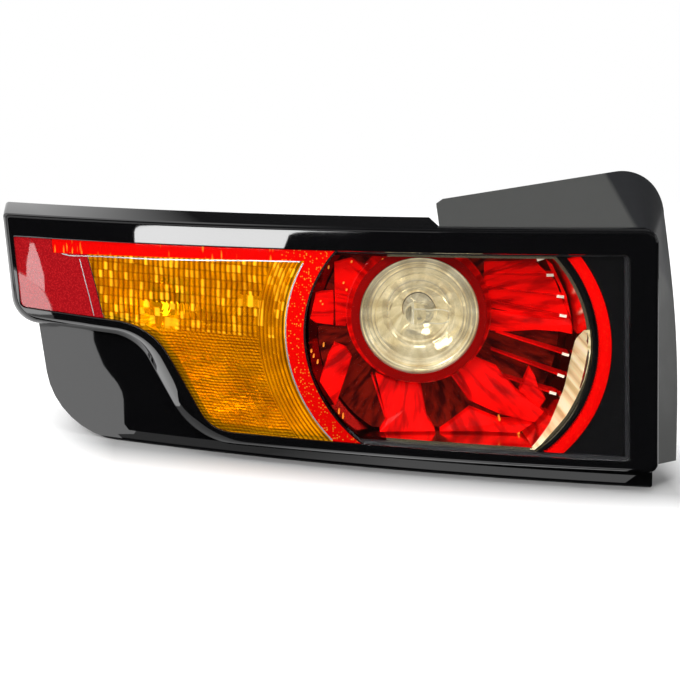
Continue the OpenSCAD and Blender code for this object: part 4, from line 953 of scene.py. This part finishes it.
BLOCKS_PX = {
    "left_block": [(309.8, 291.8), (333.6, 291.4), (334.6, 307.6), (333.6, 325), (316.3, 322.8), (308.4, 318.5)],
    "low_left_blade": [(334.7, 343.4), (346.6, 347.7), (352, 356.4), (349.9, 365), (335.8, 406.3), (318.4, 382.4),
                       (328.2, 356.4)],
    "bottom_blade": [(375.9, 373.8), (398, 382), (421.4, 384.6), (426.8, 415), (435.5, 438.8), (420, 443), (380, 441),
                     (386.7, 419.3)],
    "low_right_blade": [(451.8, 376), (473.5, 356.4), (497, 367.3), (516.8, 391), (554.8, 419.3), (551.5, 425.8),
                        (542.8, 430), (500, 414), (469, 400)],
    "right_blade": [(484.3, 309), (508, 313), (538.5, 317.4), (571, 319.6), (584, 324), (581.9, 333.7), (560, 331.5),
                    (536.3, 329.8), (508, 331.5), (490.8, 330.4), (484.3, 321.7)],
    "crown_blade": [(519.8, 391.2), (529.8, 368.4), (535.2, 375.9), (538.5, 386.8), (546, 399), (540, 408)],
    "low_blade": [(470, 408), (500, 421), (542, 433), (530, 450), (480, 447), (440, 444), (448, 425)],
    "top_left_blade": [(334.6, 263), (352, 258), (368, 266), (360, 285), (352, 306), (346, 326), (336, 326), (335, 292)],
    "top_right_blade": [(484.3, 262), (535, 262), (556, 282), (580, 322), (571, 319), (538.5, 316), (508, 311),
                        (484.3, 306)],
    "far_blade": [(547, 262), (556, 262), (577, 292), (584, 318), (577, 317), (560, 282)],
}
BLOCK_LOOK = {"top_right_blade": (-3.0, 0.4), "top_left_blade": (-2.0, 0.8), "low_blade": (-1.0, 0.6),
              "far_blade": (-1.0, 0.2)}
for block_name, outline_px in BLOCKS_PX.items():
    lift, crown = BLOCK_LOOK.get(block_name, (0.0, 1.0))
    blade = filter_block(block_name, outline_px, PADDLE, lift, crown)
    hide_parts("red_filter")

RIBS_PX = [((484, 275), (544, 257.8)), ((485, 274), (553.7, 275)), ((484, 287), (564, 296.8)),
           ((490, 300), (566.7, 316.3)), ((496, 331.5), (569, 355.3)), ((491, 349), (565.6, 377)),
           ((495, 373.8), (561.3, 396.5)), ((372, 374), (386, 418))]
RIB_T = 1.1


def filter_ribs():
    verts, faces = [], []
    tips, tip_faces = [], []

    def fin(a, b, c0, c1, t, into, into_faces, low=None):
        d = Vector((b[0] - a[0], b[1] - a[1])).normalized()
        s = Vector((-d.y, d.x)) * t / 2
        base = len(into)
        for p, c in ((a, c0), (b, c1)):
            bottom = FLOOR_C if low is None else c - low
            for side in (1, -1):
                into.append(inner(p[0] + s.x * side, p[1] + s.y * side, bottom))
                into.append(inner(p[0] + s.x * side, p[1] + s.y * side, c))
        into_faces += [tuple(base + i for i in f) for f in
                       ((0, 1, 5, 4), (2, 6, 7, 3), (1, 3, 7, 5), (0, 4, 6, 2), (0, 2, 3, 1), (4, 5, 7, 6))]

    for near, far in RIBS_PX:
        a, b = on_filter(*near, 0.3), on_filter(*far, 0.3)
        fin(a, b, a[2], b[2], RIB_T, verts, faces)
        d = Vector((b[0] - a[0], b[1] - a[1])).normalized() * 4.5
        start = (b[0] - d.x, b[1] - d.y)
        # A painted highlight at each rib's end: a glowing pale cap
        fin(start, b, b[2] + 0.25, b[2] + 0.3, RIB_T + 0.5, tips, tip_faces, 1.2)
    ribs = mesh_piece("filter_ribs", verts, faces, RIB_RED, 20)
    glints = mesh_piece("rib_tip_painted_glints", tips[:-8], tip_faces[:-6], GLINT, 20)
    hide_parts("red_filter")
    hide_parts("red_filter")


def filter_floor():
    """The filter's dark back plate, with a hole for the reverse lamp's collar, cut flat by the window."""
    hub = Vector((14.38 - 1.58, -12.5))
    n = 120
    outer, hole = [], []
    for i in range(n):
        a = 2 * math.pi * i / n
        p = hub + Vector((math.cos(a), math.sin(a))) * FILTER_R
        z_low = 15.4 + 5.5 + (p.x + 51) * math.tan(math.radians(0.3)) - 98.7
        z_high = 141.5 - 5.5 + (p.x + 51) * TAN - 98.7
        outer.append(Vector((p.x, min(max(p.y, z_low), z_high))))
        hole.append(Vector((math.cos(a), math.sin(a))) * (COLLAR_R + 0.3))
    verts = []
    for o, h in zip(outer, hole):
        verts += [inner(o.x, o.y, FLOOR_C), inner(h.x, h.y, FLOOR_C), inner(h.x, h.y, FLOOR_C - 2.2),
                  inner(o.x, o.y, FLOOR_C - 2.2)]
    ob = mesh_piece("filter_plate", verts, loop_faces(n, 4), DARK_FLOOR, 30)
    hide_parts("red_filter")


filter_ribs()
filter_floor()


def turned_piece(name, profile, mat, n=144, smooth_deg=25, cut=False):
    """A piece turned about the inner frame's axis, cut flat by the dish's roof if asked; profile is radius, height."""
    verts = []
    for i in range(n):
        t = 2 * math.pi * i / n
        for r, c in profile:
            at = (r * math.cos(t), r * math.sin(t), c)
            verts.append(inner(*(in_dish(*at) if cut else at)))
    return mesh_piece(name, verts, loop_faces(n, len(profile)), mat, smooth_deg)


# Flange of the filter round the reverse lamp, and the reverse lamp's cup and rim
flange = turned_piece("filter_flange", [(COLLAR_R + 0.4, -11.0), (46.0, -10.0), (47.0, -10.6), (47.0, FLOOR_C),
                                        (COLLAR_R + 0.4, FLOOR_C)], RIB_RED, cut=True)
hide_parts("red_filter")
CUP = [(37.8, -3.6), (37.0, -3.0), (36.2, -4.4), (34.0, -5.4), (32.6, -8.0), (30.8, -8.4), (30.2, -6.8), (29.5, -6.8),
       (28.8, -9.4), (26.0, -12.5), (22.5, -16.0), (19.8, -18.0), (19.0, -16.2), (18.2, -16.4), (17.4, -19.0),
       (14.0, -22.5), (10.2, -24.4),
       (8.8, -25.0), (8.8, -26.4), (15.0, -24.8), (20.0, -20.4), (27.0, -14.2), (33.0, -10.4), (37.8, -7.0)]
cup = turned_piece("reverse_cup", CUP, CUP_MIRROR)
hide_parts("reverse_reflector")
def along(points, s):
    """The point at share s of the way along a run of points."""
    at = s * (len(points) - 1)
    i = min(int(at), len(points) - 2)
    return Vector(points[i]).lerp(Vector(points[i + 1]), at - i)


def crescent():
    """A painted reflection: the bright sliver of the dish's wall to the right of the filter's blades, a glowing skin on
    the wall itself.
    """
    wall = BVHTree.FromObject(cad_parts["dish_reflector"], bpy.context.evaluated_depsgraph_get())
    eye, rows, columns = place(*EYE), 24, 5
    front, back = [], []
    for i in range(rows + 1):
        a, b = along(CRESCENT_INNER_PX, i / rows), along(CRESCENT_OUTER_PX, i / rows)
        for j in range(columns + 1):
            hit, share = None, j / columns
            while hit is None and share > -0.5:
                hit = wall.ray_cast(eye, sight(*a.lerp(b, share)))[0]
                share -= 0.04
            towards_eye = (eye - hit).normalized()
            front.append(hit + towards_eye * 0.0007)
            back.append(hit + towards_eye * 0.0002)
    n = columns + 1
    half = len(front)
    faces = [(i * n + j, i * n + j + 1, (i + 1) * n + j + 1, (i + 1) * n + j) for i in range(rows) for j in range(columns)]
    faces += [tuple(half + i for i in reversed(f)) for f in faces]
    rim = list(range(n)) + [i * n + n - 1 for i in range(1, rows + 1)] + \
        [rows * n + j for j in range(n - 2, -1, -1)] + [i * n for i in range(rows - 1, 0, -1)]
    faces += [(rim[i], half + rim[i], half + rim[(i + 1) % len(rim)], rim[(i + 1) % len(rim)]) for i in range(len(rim))]
    mesh_piece("crescent_painted_reflection_skin", front + back, faces, CRESCENT_PAINTED_LIGHT, 30)


CRESCENT_INNER_PX = [(584, 330), (575.4, 339), (571, 356.4), (564.5, 386.8), (555.9, 408.5), (549.4, 423.6), (540, 437),
                     (530, 449)]
CRESCENT_OUTER_PX = [(592, 330), (592, 344), (589, 362), (584, 382), (575, 400), (566, 416), (554, 430), (536, 450)]
crescent()

PAINTED_GLINTS_PX = [(321, 301), (323, 304), (344, 283), (347, 290), (329, 268), (352, 262), (311, 352), (314, 357), (318, 363),
             (324, 346), (338, 414), (343, 418), (383, 259), (408, 257), (500, 420), (523, 441)]


def painted_glints():
    """Painted glints: small glowing blocks where the lamp's optics catch the light."""
    for i, (u, v) in enumerate(PAINTED_GLINTS_PX):
        a, b, c = on_filter(u, v, 1.2)
        p = [(a - 0.6, b - 0.4), (a + 0.2, b - 0.5), (a + 0.5, b + 0.5), (a - 0.3, b + 0.6)]
        verts = [inner(q[0], q[1], h) for h in (FLOOR_C, c) for q in p]
        faces = [(0, 1, 2, 3), (4, 7, 6, 5)] + [(k, 4 + k, 4 + (k + 1) % 4, (k + 1) % 4) for k in range(4)]
        ob = mesh_piece("spark_%d" % i, verts, faces, SPARK, 20)
        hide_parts("red_filter")


painted_glints()


# Ring lens round the right of the round lamp, with a knurled inner edge
RING_FRONT, RING_BACK, RING_TEETH = 4.6, 8.6, 150


def ring_lens():
    z_low = WINDOW[2][0][1] + 2.3
    start = math.asin((z_low - 0.4 - ROUND.y) / (RING_R - RING_W))
    end = math.asin((WINDOW[0][0][1] + 150 * TAN * 0.62 - 2.3 - ROUND.y) / (RING_R - RING_W))
    verts = []
    for i in range(RING_TEETH + 1):
        t = start + (end - start) * i / RING_TEETH
        inner_r = RING_R - RING_W + (0.5 if i % 2 else 0.0)
        top_limit = WINDOW[0][0][1] - 2.3
        for r, drop in ((inner_r, RING_FRONT + 0.3), (inner_r + 0.8, RING_FRONT), (RING_R - 0.8, RING_FRONT),
                        (RING_R - 0.1, RING_FRONT + 0.4), (RING_R - 0.1, RING_BACK), (inner_r, RING_BACK)):
            x, z = ROUND.x + r * math.cos(t), ROUND.y + r * math.sin(t)
            z = max(z_low + x * 0.0052, min(z, top_limit + x * TAN))
            verts.append(swept(x, z, drop))
    faces = loop_faces(RING_TEETH + 1, 6, closed=False) + [tuple(range(6)), tuple(6 * RING_TEETH + 5 - k for k in range(6))]
    ob = mesh_piece("ring_lens", verts, faces, GUIDE, 40)
    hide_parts("ring_light_guide")


ring_lens()


# Bulbs
def box_piece(name, low, high, mat):
    verts = [(x, y, z) for x in (low.x, high.x) for y in (low.y, high.y) for z in (low.z, high.z)]
    faces = [(0, 1, 3, 2), (4, 6, 7, 5), (0, 4, 5, 1), (2, 3, 7, 6), (0, 2, 6, 4), (1, 5, 7, 3)]
    return mesh_piece(name, verts, faces, mat, 20)


def turn_filament():
    """Upright filament inside the amber bulb, on a stem from the cap."""
    low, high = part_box("turn_bulb_glass")
    cap_low, cap_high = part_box("turn_bulb_cap")
    mid = (low + high) / 2 - Vector((0, 0, 0.0062))
    box_piece("turn_filament", mid + Vector((-0.0011, -0.001, -0.004)), mid + Vector((0.0011, 0.001, 0.004)),
              HOT)
    box_piece("turn_filament_stem", mid + Vector((-0.0004, 0.001, -0.0004)),
              Vector((mid.x + 0.0004, cap_low.y + 0.003, mid.z + 0.0004)), PLATED)


turn_filament()
WIRES = [(1.6, -1.2), (-6.9, 1.2)]


def reverse_wires():
    """The two lead wires seen in the reverse lamp, each bent to a point, on a common foot, with a painted glow."""
    verts, faces = [], []
    for b, tip in WIRES:
        path = [(-3.0, b), (14.5, b), (18.7, b + tip)]
        base = len(verts)
        for a, q in path:
            for side, c in ((0.35, -12.0), (-0.35, -12.0), (-0.35, -12.7), (0.35, -12.7)):
                verts.append(inner(a, q + side, c))
        faces += [tuple(base + i for i in f) for f in loop_faces(3, 4, closed=False) + [(0, 1, 2, 3), (11, 10, 9, 8)]]
    base = len(verts)
    verts += [inner(a, b, c) for a in (-3.4, -2.6) for b in (-7.2, 2.0) for c in (-21.5, -12.0)]
    faces += [tuple(base + i for i in f) for f in ((0, 1, 3, 2), (4, 6, 7, 5), (0, 4, 5, 1), (2, 3, 7, 6), (0, 2, 6, 4),
                                                   (1, 5, 7, 3))]
    ob = mesh_piece("reverse_wires", verts, faces, WIRE, 20)
    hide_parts("reverse_bulb_filament")


reverse_wires()
neck = turned_piece("reverse_neck", [(0.6, -22.6), (8.4, -23.4), (8.4, -24.4), (0.6, -24.0)], CUP_MIRROR)

# Camera
cam_data = bpy.data.cameras.new("camera")
cam_data.sensor_width = 36
cam_data.lens = 36 * FOCAL_PX / (2 * MIDDLE_PX)
cam_data.clip_end = 60
cam = bpy.data.objects.new("camera", cam_data)
cam.location = place(*EYE) - Vector((0, 0, LIFT / 1000)) * 0
cam.rotation_euler = (-BACK).to_track_quat("-Z", "Y").to_euler()
bpy.context.scene.collection.objects.link(cam)
bpy.context.scene.camera = cam


# Studio
def seen_white(nt, low, high):
    """Strength that is high where the camera, a reflection or a glass sees it, and low as light on the object."""
    path = nt.nodes.new("ShaderNodeLightPath")
    seen = math_node(nt, "MAXIMUM", path.outputs["Is Camera Ray"], path.outputs["Is Glossy Ray"])
    return between(nt, math_node(nt, "MAXIMUM", seen, path.outputs["Is Transmission Ray"]), 0.0, 1.0, low, high)


world = bpy.data.worlds.new("studio")
bpy.context.scene.world = world
world.use_nodes = True
bg = world.node_tree.nodes["Background"]
bg.inputs["Color"].default_value = (1, 1, 1, 1)
world.node_tree.links.new(seen_white(world.node_tree, 0.45, 1.0), bg.inputs["Strength"])


def flat_mesh(name, points, mat):
    me = bpy.data.meshes.new(name)
    me.from_pydata([tuple(p) for p in points], [], [tuple(range(len(points)))])
    me.materials.append(mat)
    ob = bpy.data.objects.new(name, me)
    bpy.context.scene.collection.objects.link(ob)
    return ob





def floor_with_painted_shadow():
    """A floor with the lamp's real shadow and a painted shadow near the lamp, where its white glow fades out; plain
    white further out.
    """
    m, nt, b = new_material("floor_with_painted_shadow")
    b.inputs["Base Color"].default_value = (0.5, 0.5, 0.5, 1)
    b.inputs["Roughness"].default_value = 1.0
    b.inputs["Specular IOR Level"].default_value = 0.0
    b.inputs["Emission Color"].default_value = (1, 1, 1, 1)
    tc = nt.nodes.new("ShaderNodeTexCoord")
    xyz = nt.nodes.new("ShaderNodeSeparateXYZ")
    nt.links.new(tc.outputs["Object"], xyz.inputs[0])
    across = math_node(nt, "ABSOLUTE", math_node(nt, "SUBTRACT", xyz.outputs["X"], 0.03))
    beside = between(nt, across, 0.175, 0.22, 1.0, 0.0)
    behind = between(nt, xyz.outputs["Y"], 0.07, 0.18, 1.0, 0.0)
    ex = math_node(nt, "SUBTRACT", xyz.outputs["X"], (AXIS_X - MID_X) / 1000)
    ey = math_node(nt, "SUBTRACT", xyz.outputs["Y"], (AXIS_Y - MID_Y) / 1000)
    out = math_node(nt, "SQRT", math_node(nt, "ADD", math_node(nt, "POWER", ex, 2.0), math_node(nt, "POWER", ey, 2.0)))
    before = math_node(nt, "SUBTRACT", out, SWEEP_R / 1000)
    # Painted shadow: the floor's white glow fades out near the lamp, most of all just in front of its face
    near = math_node(nt, "MULTIPLY", math_node(nt, "MULTIPLY", beside, behind), between(nt, before, 0.0, 0.06, 1.0, 0.0))
    white = between(nt, near, 0.0, 1.0, 0.8, 0.0)
    nt.links.new(math_node(nt, "MULTIPLY", seen_white(nt, 0.0, 1.0), white), b.inputs["Emission Strength"])
    flat_mesh("floor", [(-6, -6, 0), (6, -6, 0), (6, 0.9, 0), (-6, 0.9, 0)], m)


floor_with_painted_shadow()


def softbox(name, at, aim, size, power):
    d = bpy.data.lights.new(name, "AREA")
    d.shape = "RECTANGLE"
    d.size, d.size_y = size
    d.energy = power
    ob = bpy.data.objects.new(name, d)
    ob.location = at
    ob.rotation_euler = (Vector(aim) - Vector(at)).to_track_quat("-Z", "Y").to_euler()
    bpy.context.scene.collection.objects.link(ob)
    ob.visible_glossy = False
    return ob


softbox("key_softbox", (-0.75, -0.95, 0.95), (0, 0, 0.08), (0.7, 0.5), 9)
softbox("top_softbox", (0.1, -0.1, 1.1), (0, 0, 0.08), (1.0, 0.7), 9)
softbox("right_softbox", (0.9, -0.7, 0.6), (0, 0, 0.08), (0.4, 0.5), 1.5)


def card_material(name, strength, fade=None, through=None):
    """Light card, or a black flag at 0; fade gives two places along X and the strength beyond the second."""
    m, nt, b = new_material(name)
    b.inputs["Base Color"].default_value = (0, 0, 0, 1)
    b.inputs["Specular IOR Level"].default_value = 0.0
    b.inputs["Emission Color"].default_value = (1, 1, 1, 1)
    b.inputs["Emission Strength"].default_value = strength
    if fade:
        tc = nt.nodes.new("ShaderNodeTexCoord")
        xyz = nt.nodes.new("ShaderNodeSeparateXYZ")
        nt.links.new(tc.outputs["Object"], xyz.inputs[0])
        nt.links.new(between(nt, xyz.outputs["X"], fade[0], fade[1], strength, fade[2]), b.inputs["Emission Strength"])
    if through is not None:
        path = nt.nodes.new("ShaderNodeLightPath")
        nt.links.new(between(nt, path.outputs["Is Transmission Ray"], 0.0, 1.0, strength, through),
                     b.inputs["Emission Strength"])
    return m


def card(name, points, strength, fade=None, through=None):
    """A card that only reflections see, and with through also, at that strength, what looks out through glass."""
    ob = flat_mesh(name, points, card_material(name, strength, fade, through))
    hidden = ["visible_camera", "visible_diffuse", "visible_shadow", "visible_volume_scatter"]
    for kind in hidden + (["visible_transmission"] if through is None else []):
        setattr(ob, kind, False)
    return ob


CARD_Z, FLAG_Z = 0.0016, 0.0008


def floor_card(name, outline_px, drop, strength, above_lens=False, height=CARD_Z):
    """A light card lying in front of the lamp, shaped so that its reflection on the face has this outline."""
    points = []
    for u, v in outline_px:
        p, d = on_face(u, v, drop), sight(u, v)
        if above_lens:
            p.z = max(p.z, WINDOW[0][0][1] + p.x * TAN + 0.3)
        n = Vector((p.x - AXIS_X, p.y - AXIS_Y, 0)).normalized()
        r = d - n * 2 * d.dot(n)
        q = place(*p)
        points.append(q + r * ((q.z - height) / -r.z))
    return card(name, points, strength)


FOOT_LINE = [swept(x, -LIFT, 11.7) for x in range(-216, 217, 24)]
card("floor_flag", [(-2, -3, FLAG_Z), (2, -3, FLAG_Z), (2, -0.1, FLAG_Z)] +
     [(p.x, p.y, FLAG_Z) for p in reversed(FOOT_LINE)] + [(-2, 0.1, FLAG_Z)], 0.0, through=0.08)
card("front_flag", [(-2, -3, 0), (2, -3, 0), (2, -3, 1.4), (-2, -3, 1.4)], 0.0, through=0.8)
card("top_flag", [(-2, -3, 1.6), (2, -3, 1.6), (2, 1.0, 1.6), (-2, 1.0, 1.6)], 0.1)
card("back_flag", [(-2, 1.0, 0), (2, 1.0, 0), (2, 1.0, 1.5), (-2, 1.0, 1.5)], 0.85, (-0.24, -0.07, 0.015))
TOP_BAND_PX = [(134.4, 244.6), (134.4, 232), (136, 228), (140, 226), (160, 225), (200, 225.6), (260, 227.2), (310, 229),
               (372, 230.9), (340, 231.3), (310, 231.4), (296, 232.4), (289, 235), (287, 240), (284, 247.4),
               (282.6, 248.8), (200, 246.6)]
LEFT_END_PX = [(-2, 258), (9, 262), (15, 267), (27, 276), (44, 291), (51, 305), (54, 316), (54, 322), (46, 332),
               (20, 332), (-2, 312)]
LEFT_STREAK_PX = [(27, 278), (27, 262), (30, 243), (34, 243), (40, 260), (44, 276), (45, 292), (36, 284)]
PANEL_PX = [(-4, 320), (60, 320), (93, 331), (93.5, 340), (97, 350), (103, 365), (111, 376), (118, 383), (122.5, 392),
            (124, 400), (124.5, 424), (129, 430), (136, 431), (134, 434), (118, 434), (124, 440), (96, 440), (30, 420),
            (-4, 360)]
MILKY_PX = [(10, 266), (26, 276), (36, 284), (44, 292), (50, 304), (53, 314), (40, 314), (20, 311), (12, 290)]
floor_card("top_band_card", TOP_BAND_PX, 0, 18.0, above_lens=True)
floor_card("left_end_card", LEFT_END_PX, 0.5, 1.1)
floor_card("milky_card", MILKY_PX, 1, 5.5, height=CARD_Z + 0.0002)
floor_card("left_streak_card", LEFT_STREAK_PX, 1, 6.5, height=CARD_Z + 0.0004)
floor_card("panel_card", PANEL_PX, 12, 3.0)


def near_strip(name, from_drop, to_drop, strength, fade=None):
    """A light strip on the floor along the foot of the swept face, for the bezel's lower slopes."""
    xs = [-215 + 10 * i for i in range(40)]
    points = [place(x, face_y(x, from_drop), -LIFT + 1.2) for x in xs]
    points += [place(x, face_y(x, to_drop), -LIFT + 1.2) for x in reversed(xs)]
    return card(name, points, strength, fade)


near_strip("slope_card", -9, 9, 0.55, (-0.05, 0.03, 1.6))

bpy.context.scene.view_settings.view_transform = "Standard"
